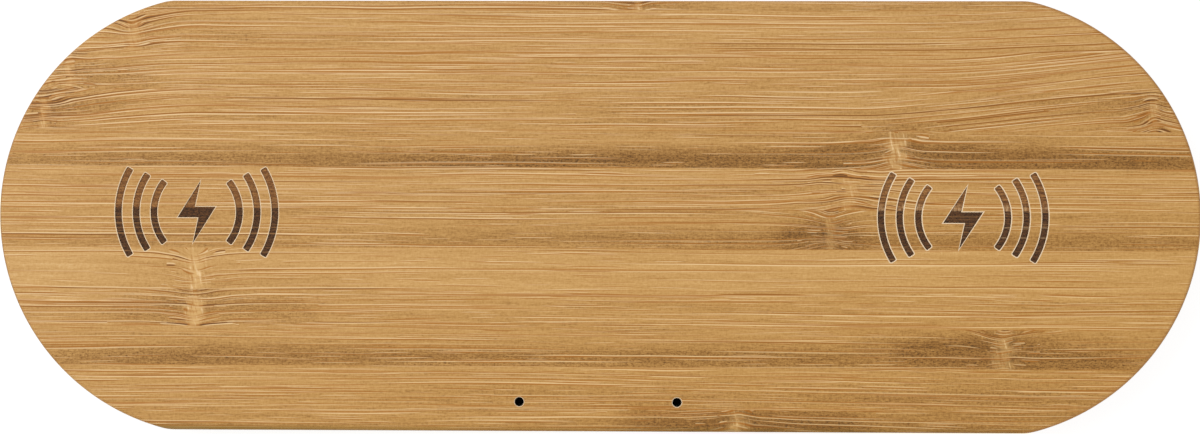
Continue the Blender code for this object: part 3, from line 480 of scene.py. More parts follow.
# Where the culm's joints cross a strip: its number, the place, reach and half width of the pale core in
# mm, how far the fibres dip there, how much they draw together, and how pale and how dark it is
KNUCKLES = (
    (1, -93.0, 7.0, 1.8, 1.0, 0.20, 0.60, 0.30),
    (2, -106.0, 9.0, 0.8, -0.9, 0.35, 0.30, 0.45),
    (3, -111.0, 8.0, 1.0, 0.8, 0.40, 0.40, 0.60),
    (7, -80.5, 6.5, 1.8, 1.1, 0.10, 1.00, 0.15),
    (8, -80.5, 5.5, 1.4, 1.2, 0.05, 1.05, 0.45),
    (4, 59.5, 6.0, 1.9, -1.1, 0.10, 1.20, 0.50),
    (5, 50.0, 12.0, 1.2, -0.8, 0.30, 0.40, 0.10),
    (6, 46.5, 6.0, 0.9, 0.5, 0.90, 0.45, 0.60),
    (9, 81.0, 7.0, 1.8, 0.9, 0.50, 0.60, 0.55),
    (11, 28.0, 6.5, 1.8, -1.5, 0.00, 0.90, 0.45),
    (3, 110.5, 7.5, 1.0, -1.2, 0.10, 0.50, 0.40),
    (0, 8.0, 6.0, 0.9, 0.9, 0.00, 0.60, 0.35),
)
JOINT_ROUND = 1.2
JOINT_RIPPLE = 3.0

# The fibre lines, long to short: distance of the rows, length of the cells and half width in mm, seed,
# share of lines, strength. The curls are the short lines round the culm's joints
FIBRE_LINES = (
    (1.7, 130.0, 0.16, 1.0, 1.00, 1.00),
    (1.1, 70.0, 0.14, 2.0, 0.95, 0.95),
    (0.8, 32.0, 0.12, 3.0, 0.80, 0.90),
    (0.5, 12.0, 0.09, 4.0, 0.60, 0.80),
)
CURLS = (0.9, 5.0, 0.15, 5.0)
CURL_STRENGTH = 0.9

BAMBOO_SCALE = (
    (0.00, shade(94, 62, 24)),
    (0.25, shade(145, 100, 45)),
    (0.50, shade(188, 142, 80)),
    (0.75, shade(208, 164, 103)),
    (1.00, shade(224, 188, 134)),
)
LIGHT_LINE = shade(240, 208, 160)
ORANGE_LINE = shade(170, 106, 30)
BROWN_LINE = shade(100, 62, 26)
KNUCKLE_PALE = shade(222, 180, 118)
FRONT_WARMTH = (0.985, 0.955, 0.83)
# Painted shade for the rounded front edge
OLIVE_PAINTED_SHADE = shade(134, 100, 36)
END_DARK, END_PALE = shade(160, 116, 66), shade(190, 146, 92)
# Painted light: an orange rim for how the light falls on the right end's rounded edge
END_RIM_PAINTED_LIGHT = shade(172, 116, 54)
END_DOT = shade(88, 54, 28)

# How far below the top its fibres turn down the sides, in mm
TURN_DOWN_DEPTH = 0.3

# Painted light on the rounded edges, in mm: a shade wedge along the front's left, a rim round the right end
SHADE_WEDGE_DEPTH = 1.3
SHADE_WEDGE_FROM, SHADE_WEDGE_TO = -86, -12
PAINTED_RIM_DEPTH = 0.8
PAINTED_RIM_FROM, PAINTED_RIM_TO = 70, 90


def fibre_bend(x, q, strip, inside):
    """How far the culm's joints and the long rises move the fibres, and how pale and dark they are."""
    shift, pale, dark, unrest = 0.0, 0.0, 0.0, 0.0
    wobble = noise((x * 0.25, q * 0.7, 12.0), 1.0)
    core_height = 0.35 + step_between(inside, 0.10, 0.40) * 0.65
    for number, across, reach, core_width, dip, draw, paleness, darkness in KNUCKLES:
        here = same(strip, float(number))
        away = x - across
        distance = calculate("SQRT", away * away + JOINT_ROUND**2) - JOINT_ROUND
        near = calculate("EXPONENT", distance * (-1.5 / reach)) * here
        middle = CASE_WIDTH / 2 / MM - sum(row[0] for row in STRIPS[:number]) - STRIPS[number][0] / 2
        shift = shift + near * (dip + draw * (q - middle))
        core = bell(away / core_width + wobble * 2.5) * here * core_height
        pale = pale + core * paleness
        dark = dark + near * (1.0 - core) * darkness
        unrest = unrest + near
    for first, last, start, end, rise in RISES:
        among = calculate("LESS_THAN", size_without_sign(strip - (first + last) / 2), (last - first) / 2)
        shift = shift - step_between(x, start, end) * among * rise
    ripple = noise((x * 0.13, q * 0.36, strip * 2.3), 1.0, 0.3)
    return shift + unrest * ripple * JOINT_RIPPLE, pale, dark, unrest


def streaks(x, v, strip, pitch, cell, half_width, seed, share):
    """Rows of long thin fibres, each a pale line beside a dark one. Returns both kinds."""
    row_place = v / pitch
    row = whole(row_place)
    start, thin, flip = dice(row, strip, seed)
    along = x / cell + start * 19.0
    middle, length, kept = dice(row + strip * 61.0, whole(along), seed + 0.5)
    pale, deep, bend = (rest_of(draw * 37.0) for draw in (middle, length, kept))
    from_middle = (rest_of(along) - 0.5) / (0.20 + length * 0.28)
    taper = calculate("SUBTRACT", 1.0, from_middle * from_middle, clamp=True)
    centre = 0.3 + middle * 0.4 + (bend - 0.5) * 0.25 * from_middle
    side = 1.0 - 2.0 * calculate("GREATER_THAN", flip, 0.6)
    width = half_width * (0.65 + thin * 0.5)
    away = (rest_of(row_place) - centre) * pitch * side / (width * (0.35 + taper * 0.65))
    shown = calculate("LESS_THAN", kept, share) * clamped(taper * 1.8)
    light = clamped(peak((away - 0.85) * 0.9) * 1.6) * shown * (0.15 + pale * 0.85)
    dark = clamped(peak((away + 0.85) * 0.9) * 1.6) * shown * (0.40 + deep * 0.60)
    return light, dark


def strip_values(strip):
    """The table of strips read at this strip: its tone, its share of lines, how dark its lower side is."""
    count = len(STRIPS)
    stops = [(i / count, row[1:]) for i, row in enumerate(STRIPS)]
    return parts_of(ramp((strip + 0.5) / count, stops, "CONSTANT"), "SeparateColor")


def strip_place(run):
    """How many strips lie behind this place, with the share of its own strip after the point."""
    edge = CASE_WIDTH / 2 / MM
    total = 0.0
    for width, *_ in STRIPS:
        total = total + clamped((edge - run) / width)
        edge -= width
    return total


def dense_side(x, strip, inside, low_side, long_change, joint_dark):
    """How much of the culm's dense outer side shows: low in the strips, in patches and at the joints."""
    band = step_between(inside, 0.25, 0.85) * low_side * (0.7 + long_change * 1.6) + joint_dark
    for number, across, half_length, middle, half_height, amount in DARK_PATCHES:
        along = size_without_sign((x - across) / half_length)
        patch = bell(along * along) * bell((inside - middle) / half_height)
        band = band + same(strip, float(number)) * patch * amount * (0.8 + long_change * 1.6)
    return clamped(band)


def wood_colour(x, q, v, strip, tone, long_change, band, unrest, upright):
    """The wood between the fibre lines: mottled, and darker with short specks on the dense side."""
    fine = noise((x / 4.0, v / 0.30, strip), 3.0, 0.65)
    finest = noise((x * 1.1, v * 5.0, 11.0), 2.0, 0.6)
    mottle = noise((x * 1.6, q * 1.9, 5.0), 3.0, 0.65)
    ticks = noise((x * 4.0, q * 0.9, 9.0), 1.0)
    level = tone + long_change * 0.50 + fine * 0.54 + finest * 0.42 + mottle * 0.38 + ticks * 0.18
    level = level + step_between(x, -92.0, -114.0) * 0.06
    speck = step_between(noise((x * 1.6, v * 4.6, 21.0), 2.0, 0.7), 0.0, 0.14)
    level = level - band * (0.25 + speck * 0.28)
    level = level + unrest * upright * 0.35
    return ramp(clamped(level), BAMBOO_SCALE)


def fibre_lines(x, v, strip, shares, unrest, joint_pale, upright):
    """The pale and the dark lines. Round a culm's joint there are short curls, and in its pale core the
    fibres stand upright."""
    calm = 1.0 - joint_pale * 0.7
    stir = 1.0 + unrest * 0.4
    light = step_between(upright, 0.06, 0.17) * joint_pale * 0.9
    dark = step_between(upright, -0.08, -0.19) * joint_pale * 0.8
    rows = [(*row[:4], shares * row[4], row[5]) for row in FIBRE_LINES]
    rows.append((*CURLS, clamped(unrest * 0.85 - 0.08), CURL_STRENGTH))
    for pitch, cell, half_width, seed, share, strength in rows:
        pale, deep = streaks(x, v, strip, pitch, cell, half_width * stir, seed, share)
        light = larger(light, pale * calm * strength)
        dark = larger(dark, deep * calm * stir * strength)
    return light, dark


def tone_and_painted_edge_light(colour, x, y, q):
    """The board is warmer towards the front and the right, with painted shade on its rounded front-left
    edge and a painted orange rim on its right end.
    """
    warmth = step_between(x * 0.25 - y, -26.0, 62.0)
    colour = blended(warmth, colour, blended(1.0, colour, FRONT_WARMTH, "MULTIPLY"))
    front = -CASE_WIDTH / 2 / MM
    # Painted shade on the rounded front edge, strongest towards the left
    painted_shade_wedge = step_between(q, front + SHADE_WEDGE_DEPTH, front + SHADE_WEDGE_DEPTH * 0.3)
    painted_shade_wedge = painted_shade_wedge * (0.50 + 0.50 * step_between(x, SHADE_WEDGE_TO, SHADE_WEDGE_FROM))
    colour = blended(painted_shade_wedge * 0.75, colour, OLIVE_PAINTED_SHADE)
    # A painted orange rim for how the light falls on the right end's rounded edge
    along = size_without_sign(x) - END_ARC_X / MM
    from_end = END_RADIUS / MM - calculate("SQRT", along * along + y * y)
    rim = step_between(from_end, PAINTED_RIM_DEPTH, PAINTED_RIM_DEPTH * 0.2) * step_between(x, PAINTED_RIM_FROM, PAINTED_RIM_TO)
    return blended(rim * 0.55, colour, END_RIM_PAINTED_LIGHT)


def end_grain(x, y, z, strip, inside, glue):
    """The cut fibres at the ends: dark dots, closer together towards a strip's dense side."""
    dot = step_between(nearest((x * 0.12, y * 1.5, z * 1.5)), 0.34, 0.16)
    ground = step_between(noise((y * 0.4, z * 0.4, strip)), -0.3, 0.3)
    colour = blended(ground, END_DARK, END_PALE)
    colour = blended(dot * (0.45 + inside * 0.45), colour, END_DOT)
    return blended(glue * 0.7, colour, BROWN_LINE)


def bamboo_group():
    """What every bamboo surface shares: its colour, its relief, and where it lies in its strip."""
    tree = bpy.data.node_groups.new("bamboo", "ShaderNodeTree")
    for name, kind in (("Colour", "Color"), ("Relief", "Float"), ("Strips", "Float"), ("Lines", "Float")):
        tree.interface.new_socket(name=name, in_out="OUTPUT", socket_type=f"NodeSocket{kind}")
    x, y, z = place_in_mm(tree)

    # Down the sides the fibres go on from the top, past its edges
    q = y + calculate("SIGN", y) * larger(CASE_TOP / MM - TURN_DOWN_DEPTH - z, 0.0)
    wave = noise((x / 70.0, q / 14.0, 3.0), 0.0)
    place = strip_place(y + x * STRIP_SLOPE + wave * STRIP_WAVE)
    strip, inside = whole(place), rest_of(place)
    tone, line_share, low_side = strip_values(strip)

    # The fibres waver, and bend round the culm's joints
    shift, joint_pale, joint_dark, unrest = fibre_bend(x, q, strip, inside)
    v = q + x * STRIP_SLOPE + shift
    v = v + noise((x / 60.0, q / 8.0, strip * 3.7)) * 1.4
    v = v + noise((x / 15.0, q / 2.5, strip * 1.9), 1.0) * 0.14

    long_change = noise((x / 38.0, v / 1.3, strip * 5.3), 3.0, 0.6)
    upright = noise((x * 1.9 + v * 0.3, q * 0.30, 2.0), 2.0, 0.6)
    band = dense_side(x, strip, inside, low_side, long_change, joint_dark)
    colour = wood_colour(x, q, v, strip, tone, long_change, band, unrest, upright)
    joint_pale = clamped(joint_pale * (1.0 + upright * 1.6))
    colour = blended(joint_pale * 0.66, colour, KNUCKLE_PALE)

    # The lines are fewer where the strip is plain or dense. Between the strips there are glue lines
    shares = clamped(line_share * (1.0 - band * 0.45) + unrest * 0.3)
    light, dark = fibre_lines(x, v, strip, shares, unrest, joint_pale, upright)
    from_joint = calculate("MINIMUM", inside, 1.0 - inside) * 8.0
    change = noise((x / 30.0, strip * 4.1, 8.0), 1.0)
    glue = step_between(from_joint, 0.16, 0.04) * clamped(0.35 + change * 2.5)
    dark = larger(dark, glue * 0.6)
    colour = blended(light * 0.85, colour, LIGHT_LINE)
    line_colour = blended(step_between(dark, 0.70, 1.15), ORANGE_LINE, BROWN_LINE)
    # Painted shade and a painted orange rim go onto the rounded edges here
    colour = tone_and_painted_edge_light(blended(clamped(dark * 1.2), colour, line_colour), x, y, q)

    end = step_between(size_without_sign(facing(tree)[0]), 0.45, 0.85)
    colour = blended(end, colour, end_grain(x, y, z, strip, inside, glue))
    relief = noise((x * 0.35, q * 3.2, 17.0), 2.0, 0.6)
    shared = tree.nodes.new("NodeGroupOutput").inputs
    for name, value in (("Colour", colour), ("Relief", relief), ("Strips", place), ("Lines", light)):
        feed(shared[name], value)
    return tree


# Materials

# The marks: how the wood looks from lightly to deeply burnt, and the fibres that the burn left pale
BURNT_SCALE = ((0.0, shade(190, 136, 76)), (0.5, shade(122, 79, 42)), (1.0, shade(50, 34, 23)))
BURNT_LINE = shade(168, 124, 76)
HARD_FIBRE = shade(206, 172, 128)
HARD_FIBRES = (-2.1, -4.1)
HARD_FIBRE_HALF_WIDTH = 0.13
RIM_PALE = shade(240, 217, 184)

# Speckled materials: darker and paler colour as a screen shows them, grains to the mm, their squeeze in
# Y, roughness, relief in mm and gloss level
SPECKLED = {
    "foot_rubber": ((30, 30, 31), (52, 52, 53), 3.0, 1, 0.82, 0.03, 0.5),
    "sleeve_rubber": ((9, 9, 9), (18, 18, 18), 4.0, 1, 0.9, 0.02, 0.1),
    "ferrite": ((52, 53, 56), (80, 81, 84), 1.6, 1, 0.55, 0.03, 0.5),
    "tape": ((196, 190, 170), (222, 218, 202), 2.0, 5, 0.6, 0.01, 0.5),
    "socket_plastic": ((18, 18, 19), (34, 34, 35), 5.0, 1, 0.5, 0.01, 0.5),
    "light_lens": ((24, 24, 23), (38, 38, 36), 3.0, 1, 0.4, 0.005, 0.06),
    "chip_plastic": ((30, 30, 32), (52, 52, 54), 6.0, 1, 0.5, 0.015, 0.5),
    "ceramic": ((150, 116, 84), (182, 148, 112), 3.0, 1, 0.4, 0.01, 0.5),
    "tantalum": ((206, 158, 46), (232, 188, 78), 4.0, 1, 0.45, 0.01, 0.5),
    "core_grey": ((86, 87, 90), (120, 121, 124), 3.0, 1, 0.6, 0.02, 0.5),
}

# Drawn or rolled metals: darker and paler colour as a screen shows them, roughness
BRUSHED = {
    "screw_steel": ((150, 150, 152), (196, 196, 198), 0.32),
    "socket_metal": ((178, 178, 180), (214, 214, 216), 0.26),
    "contact_gold": ((206, 164, 84), (236, 200, 122), 0.24),
}

MATERIALS = {}


def new_material(name, **constants):
    """Makes a material, with numbers and colours set on the shader's own sockets. Returns its tree."""
    MATERIALS[name] = material = bpy.data.materials.new(name)
    material.use_nodes = True
    inputs = material.node_tree.nodes["Principled BSDF"].inputs
    for socket, value in constants.items():
        inputs[socket.replace("_", " ")].default_value = value
    return material.node_tree


def dress(tree, colour, roughness, height, depth):
    """Gives a material its colour and roughness, and a relief of this height field and depth in mm."""
    inputs = tree.nodes["Principled BSDF"].inputs
    feed(inputs["Base Color"], colour)
    feed(inputs["Roughness"], roughness)
    feed(inputs["Normal"], add_node("Bump", {"Distance": depth * MM, "Height": height}, "Normal"))


def use_bamboo(tree):
    node = tree.nodes.new("ShaderNodeGroup")
    node.node_tree = BAMBOO_GROUP
    return {output.name: Field(output) for output in node.outputs}


def bamboo_material():
    tree = new_material("bamboo", Specular_IOR_Level=0.25)
    wood = use_bamboo(tree)
    dress(tree, wood["Colour"], 0.52 - wood["Relief"] * 0.08, wood["Relief"], 0.02)


def burnt_material():
    """The floor and walls of the engraved marks, burnt deepest in the softer strips."""
    tree = new_material("burnt_bamboo", Specular_IOR_Level=0.2)
    wood = use_bamboo(tree)
    x, y, _ = place_in_mm(tree)
    soot = noise((x * 1.4, y * 2.6, 4.0), 3.0, 0.7)
    grain = noise((x * 0.3, y * 3.4, 6.0), 2.0, 0.6)
    spots = noise((x * 3.0, y * 3.4, 14.0), 2.0, 0.6)
    upright = noise((x * 2.2, y * 0.6, 15.0), 2.0, 0.6)
    deep = step_between(wood["Strips"], 5.96, 6.02)
    right = calculate("GREATER_THAN", x, 0.0)
    streaky = (1.0 - deep * 0.7) * (0.9 + right * 0.6)
    wall = step_between(facing(tree)[2], 0.8, 0.4)
    char = 0.49 + deep * 0.36 + soot * 0.7 + grain * streaky + spots * 0.9 + wall * 0.4
    charred = ramp(clamped(char), BURNT_SCALE)
    charred = blended(wood["Lines"] * 0.6, charred, BURNT_LINE)

    # In the right mark a few hard fibres run across, and just behind the joint the burn is pale
    first, second = (peak((y - place) / HARD_FIBRE_HALF_WIDTH) for place in HARD_FIBRES)
    scorch = step_between(wood["Strips"], 5.80, 5.93) * (1.0 - deep)
    fibres = clamped(first + second) * step_between(x, 68.0, 80.0) * (0.7 + soot * 2.0)
    pale = right * clamped(fibres + scorch * clamped(0.30 + upright * 5.0))
    charred = blended(pale * 0.75, charred, HARD_FIBRE)
    dress(tree, charred, 0.75 + soot * 0.2, soot + grain, 0.04)


def rim_material():
    """The pale edge that the engraving leaves round each stroke and hole."""
    tree = new_material("engraving_rim", Specular_IOR_Level=0.3)
    wood = use_bamboo(tree)
    x, y, _ = place_in_mm(tree)
    change = noise((x * 1.6, y * 1.6, 2.0))
    left = calculate("LESS_THAN", x, 0.0)
    colour = blended(0.18 + left * 0.12 + change * 0.6, RIM_PALE, wood["Colour"])
    dress(tree, colour, 0.6 + change * 0.2, wood["Relief"], 0.02)


def hole_material():
    """The walls of the two light holes, burnt black."""
    tree = new_material("burnt_hole", Specular_IOR_Level=0.1)
    x, y, z = place_in_mm(tree)
    soot = noise((x * 4.0, y * 4.0, z * 4.0), 3.0)
    dress(tree, blended(0.5 + soot, shade(9, 7, 6), shade(22, 16, 12)), 0.85 + soot * 0.2, soot, 0.05)


def speckled_material(name, dark, pale, scale, squeeze, roughness, depth, gloss):
    """A material whose colour, gloss and relief all follow one fine noise."""
    tree = new_material(name, Specular_IOR_Level=gloss)
    x, y, z = place_in_mm(tree)
    grain = noise((x * scale, y * (scale * squeeze), z * scale), 3.0, 0.6)
    broad = noise((x * 0.11, y * 0.11, z * 0.11))
    colour = blended(0.5 + grain * 1.2 + broad * 0.6, shade(*dark), shade(*pale))
    dress(tree, colour, roughness + grain * 0.25 + broad * 0.12, grain, depth)


def spark_material():
    """Moulded plastic from a spark-eroded tool: a fine even grain with small round pits."""
    tree = new_material("cover_plastic", Specular_IOR_Level=0.45)
    x, y, z = place_in_mm(tree)
    pits = nearest((x * 2.2, y * 2.2, z * 2.2))
    grain = noise((x * 5.0, y * 5.0, z * 5.0))
    wear = noise((x * 0.05, y * 0.07, z * 0.05), 3.0, 0.6)
    colour = blended(0.5 + grain * 0.8 + wear, shade(38, 38, 40), shade(54, 54, 56))
    dress(tree, colour, 0.56 + grain * 0.2 + wear * 0.2, pits + grain, 0.03)


def litz_material():
    """Enamelled copper strands. Their marks are finer up the wire's side than along it."""
    tree = new_material("copper_wire", Metallic=1.0)
    x, y, z = place_in_mm(tree)
    strands = noise((x * 6.0, y * 6.0, z * 14.0))
    age = noise((x * 0.12, y * 0.12, z * 0.5))
    colour = blended(0.5 + strands * 0.7 + age, shade(176, 98, 54), shade(226, 150, 98))
    dress(tree, colour, 0.34 + strands * 0.3, strands, 0.02)


def foam_material():
    """Foam: small dark pores between paler walls."""
    tree = new_material("foam", Specular_IOR_Level=0.1)
    x, y, z = place_in_mm(tree)
    wall = step_between(nearest((x * 2.6, y * 2.6, z * 2.6), feature="DISTANCE_TO_EDGE"), 0.16, 0.03)
    dress(tree, blended(wall, shade(34, 34, 36), shade(74, 74, 78)), 0.9 + wall * 0.08, wall, 0.12)


def board_material():
    """Green solder mask over copper tracks, with small plated holes."""
    tree = new_material("board_laminate", Specular_IOR_Level=0.5)
    x, y, z = place_in_mm(tree)
    jog = dice(whole(x / 7.0), 0.0, 3.0)[0]
    bent = y + peak(rest_of(x / 7.0) * 4.0 - 2.0) * (jog - 0.5) * 2.0
    track = step_between(size_without_sign(rest_of(bent / 1.6) - 0.5), 0.12, 0.16)
    pour = step_between(noise((x * 0.09, y * 0.09, 1.0), 1.0), -0.03, 0.0)
    copper = larger(1.0 - track, pour)
    via = nearest((x * 0.36, y * 0.36, 0.5), 0.8)
    colour = blended(copper, shade(22, 74, 48), shade(34, 104, 64))
    colour = blended(step_between(via, 0.16, 0.13), colour, shade(196, 160, 84))
    colour = blended(step_between(via, 0.075, 0.06), colour, shade(24, 26, 24))
    weave = noise((x * 2.0, y * 2.0, z * 2.0))
    dress(tree, colour, 0.32 + weave * 0.2, copper, 0.03)


def brushed_material(name, dark, pale, roughness):
    """Drawn or rolled metal, with fine lines along X and a few dull spots."""
    tree = new_material(name, Metallic=1.0)
    x, y, z = place_in_mm(tree)
    lines = noise((x * 0.7, y * 9.0, z * 9.0), 3.0, 0.6)
    dull = noise((x * 0.5, y * 0.5, z * 0.5))
    colour = blended(0.5 + lines * 0.8 + dull, shade(*dark), shade(*pale))
    dress(tree, colour, roughness + lines * 0.2 + dull * 0.2, lines, 0.006)


BAMBOO_GROUP = bamboo_group()
bamboo_material()
burnt_material()
rim_material()
hole_material()
spark_material()
litz_material()
foam_material()
board_material()
for slot, row in SPECKLED.items():
    speckled_material(slot, *row)
for slot, row in BRUSHED.items():
    brushed_material(slot, *row)


# Shapes


def arc(centre, radius, start, end, steps):
    """Points of an arc, both ends included."""
    turns = [start + (end - start) * i / steps for i in range(steps + 1)]
    return [(centre[0] + radius * math.cos(t), centre[1] + radius * math.sin(t)) for t in turns]


def circle(radius, steps):
    return arc((0, 0), radius, 0, math.tau, steps)[:-1]


def rounded_rectangle(width, height, corner, steps):
    """The outline of a rectangle about the origin, anticlockwise, with round corners."""
    across, up = width / 2 - corner, height / 2 - corner
    points = []
    for quarter, (x, y) in enumerate(((1, 1), (-1, 1), (-1, -1), (1, -1))):
        start = quarter * math.pi / 2
        points += arc((x * across, y * up), corner, start, start + math.pi / 2, steps)
    return points


def upright(width, height, corner, y, middle, steps=ROUND_STEPS):
    """A rounded rectangle that stands at one depth, anticlockwise as seen from the front."""
    return [(x, y, middle + z) for x, z in rounded_rectangle(width, height, corner, steps)]


def case_outline(inset):
    """The case's plan moved inwards: end arcs, straight sides, and the blends where these meet."""
    end_radius, blend = END_RADIUS - inset, CORNER_BLEND - inset
    rise = CASE_WIDTH / 2 - inset - blend
    reach = math.sqrt((end_radius - blend) ** 2 - rise**2)
    turn = math.atan2(rise, reach)
    right = arc((END_ARC_X + reach, -rise), blend, -math.pi / 2, -turn, BLEND_STEPS)
    right += arc((END_ARC_X, 0), end_radius, -turn, turn, END_ARC_STEPS)[1:]
    right += arc((END_ARC_X + reach, rise), blend, turn, math.pi / 2, BLEND_STEPS)[1:]
    return right + [(-x, -y) for x, y in right]


def eased_edge(size):
    """How far in and how high a rounded lower edge is, from the bottom up."""
    turns = [math.pi / 2 * i / ROUND_STEPS for i in range(ROUND_STEPS + 1)]
    return [(size * (1 - math.sin(turn)), size * (1 - math.cos(turn))) for turn in turns]


def level(outline, height, centre=(0, 0)):
    return [(x + centre[0], y + centre[1], height) for x, y in outline]


def skin(rings, kinds=None, looped=False):
    """A function that fills in a solid from rings of equally many points, lowest first. They run
    anticlockwise as seen from above. Looped rings close on the first one instead of having ends."""

    def fill(shape):
        rows = [[shape.verts.new(point) for point in ring] for ring in rings]
        pairs = list(zip(rows, rows[1:]))
        if looped:
            pairs.append((rows[-1], rows[0]))
        for i, (low, high) in enumerate(pairs):
            for j in range(len(low)):
                after = (j + 1) % len(low)
                face = shape.faces.new((low[j], low[after], high[after], high[j]))
                face.material_index = kinds[i] if kinds else 0
        if not looped:
            shape.faces.new(rows[0][::-1]).material_index = kinds[0] if kinds else 0
            shape.faces.new(rows[-1]).material_index = kinds[-1] if kinds else 0

    return fill


def prism(outline, low, high, centre=(0, 0)):
    """A straight solid between two heights."""
    return skin([level(outline, low, centre), level(outline, high, centre)])


def box(low, high):
    outline = [(low[0], low[1]), (high[0], low[1]), (high[0], high[1]), (low[0], high[1])]
    return prism(outline, low[2], high[2])


def turned(profile, steps, centre=(0, 0), kinds=None, looped=False):
    """A round solid. The profile runs from the bottom up, as radius and height."""
    return skin([level(circle(radius, steps), height, centre) for radius, height in profile], kinds, looped)


def mesh_from(*fills, materials=()):
    """A mesh filled in by functions such as skin gives, with these materials."""
    mesh = bpy.data.meshes.new("shape")
    shape = bmesh.new()
    for fill in fills:
        fill(shape)
    shape.to_mesh(mesh)
    shape.free()
    for name in materials:
        mesh.materials.append(MATERIALS[name])
    return mesh


def prisms(kind, outline, low, high):
    """Straight solids between two heights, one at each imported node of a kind."""
    return mesh_from(*(prism(outline, low, high, centre_of(name)) for name in numbered(kind)))


def add_object(name, data):
    obj = bpy.data.objects.new(name, data)
    bpy.context.scene.collection.objects.link(obj)
    return obj


def cut(obj, cuts):
    """Joins meshes to an object or takes them from it. The cuts are pairs of an operation and a mesh."""
    cutters = []
    for operation, mesh in cuts:
        cutter = add_object("cutter", mesh)
        cutters.append(cutter)
        modifier = obj.modifiers.new("cut", "BOOLEAN")
        modifier.operation = operation
        modifier.object = cutter
        modifier.solver = "EXACT"
        modifier.material_mode = "TRANSFER"
    bpy.context.view_layer.update()
    graph = bpy.context.evaluated_depsgraph_get()
    mesh = bpy.data.meshes.new_from_object(obj.evaluated_get(graph), depsgraph=graph)
    obj.modifiers.clear()
    obj.data = mesh
    for cutter in cutters:
        bpy.data.objects.remove(cutter)


def build_piece(name, slot, node, mesh, cuts=(), sharp=SHARP_ANGLE):
    """A piece in its slot's material, cut and shaded. It rides on the one body and stands for its node."""
    mesh.materials.append(MATERIALS[slot])
    piece = add_object(name, mesh)
    if cuts:
        cut(piece, cuts)
    piece.data.shade_smooth()
    if sharp:
        piece.data.set_sharp_from_angle(angle=sharp)
        piece.modifiers.new("even_normals", "WEIGHTED_NORMAL").keep_sharp = True
    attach(piece, "root")
    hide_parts(node)
    return piece


# The case


def stroke_outline(centre, radius, direction, half_angle, stroke, grow):
    """One of the mark's arcs as a stroke with square, slightly rounded ends, anticlockwise."""
    outline = []
    for i, (end, side) in enumerate(((1, 1), (1, -1), (-1, -1), (-1, 1))):
        across = radius + side * (stroke / 2 - MARK_CORNER)
        reach = end * (half_angle - MARK_CORNER / across)
        turn = direction + reach
        middle = (centre[0] + across * math.cos(turn), centre[1] + across * math.sin(turn))
        first = turn + i * math.pi / 2
        outline += arc(middle, MARK_CORNER + grow, first, first + math.pi / 2, MARK_CORNER_STEPS)
        if side != end:
            edge = radius + side * (stroke / 2 + grow)
            outline += arc(centre, edge, turn, direction - reach, MARK_ARC_STEPS)[1:-1]
    return outline


def grown(outline, grow):
    """An anticlockwise outline with each side moved outwards and its corners kept sharp."""
    points = [Vector(p) for p in outline]
    moved = []
    for i, point in enumerate(points):
        way_in = (point - points[i - 1]).normalized()
        way_out = (points[(i + 1) % len(points)] - point).normalized()
        normal_in, normal_out = Vector((way_in.y, -way_in.x)), Vector((way_out.y, -way_out.x))
        corner = (normal_in + normal_out).normalized()
        moved.append(tuple(point + corner * (grow / max(MITRE_LIMIT, corner.dot(normal_in)))))
    return moved


def mark_outlines(stretch, stroke, grow):
    """The mark's outlines about its own middle, stretched in X: the arcs on both sides, then the bolt."""
    outlines = []
    for i, half_angle in enumerate(MARK_HALF_ANGLES):
        radius = MARK_FIRST_RADIUS + i * MARK_RADIUS_STEP
        for direction, shift in ((0, -MARK_CENTRE_SHIFT), (math.pi, MARK_CENTRE_SHIFT)):
            outlines.append(stroke_outline((shift, 0), radius, direction, half_angle, stroke, grow))
    half = [(x * BOLT_WIDTH, y * BOLT_HEIGHT) for x, y in BOLT_HALF_OUTLINE_SHARES][::-1]
    outlines.append(grown(half + [(-x, -y) for x, y in half], grow))
    return [[(x * stretch, y) for x, y in outline] for outline in outlines]


def mark_cutter():
    """Both marks: burnt floors and walls, and a shallow pale bevel round each stroke."""
    fills = []
    for side, (stretch, stroke, rim) in MARKS.items():
        centre = centre_of(f"coil_tape_{side}")
        for inner, outer in zip(mark_outlines(stretch, stroke, 0), mark_outlines(stretch, stroke, rim)):
            rings = [level(inner, CASE_TOP - depth, centre) for depth in (MARK_DEPTH, MARK_RIM_DEPTH)]
            rings += [level(outer, CASE_TOP + rise, centre) for rise in (0, CUT_OVERRUN)]
            fills.append(skin(rings, (0, 1, 1)))
    return mesh_from(*fills, materials=("burnt_bamboo", "engraving_rim"))


def light_hole_cutter():
    outer = LIGHT_HOLE_RADIUS + HOLE_RIM_WIDTH
    profile = [
        (LIGHT_HOLE_RADIUS, BAY_CEILING - CUT_OVERRUN),
        (LIGHT_HOLE_RADIUS, CASE_TOP - HOLE_RIM_WIDTH),
        (outer, CASE_TOP),
        (outer, CASE_TOP + CUT_OVERRUN),
    ]
    holes = [turned(profile, SMALL_STEPS, centre_of(name), (0, 1, 1)) for name in numbered("status_light")]
    return mesh_from(*holes, materials=("burnt_hole", "engraving_rim"))


def port_mesh():
    """The opening through the front wall, lofted along -Y with its mouth a little eased."""
    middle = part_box("usb_shell")[1].z - SOCKET_HEIGHT / 2
    front, ease = -CASE_WIDTH / 2, PORT_EASE
    places = ((BAY_FRONT + JOIN_BITE, 0), (front + ease, 0), (front, ease), (front - CUT_OVERRUN, ease))
    rings = []
    for y, grow in places:
        width = SOCKET_WIDTH + 2 * (PORT_MARGIN_SIDE + grow)
        height = SOCKET_HEIGHT + 2 * (PORT_MARGIN_HEIGHT + grow)
        rings.append(upright(width, height, PORT_CORNER + grow, y, middle))
    return mesh_from(skin(rings))


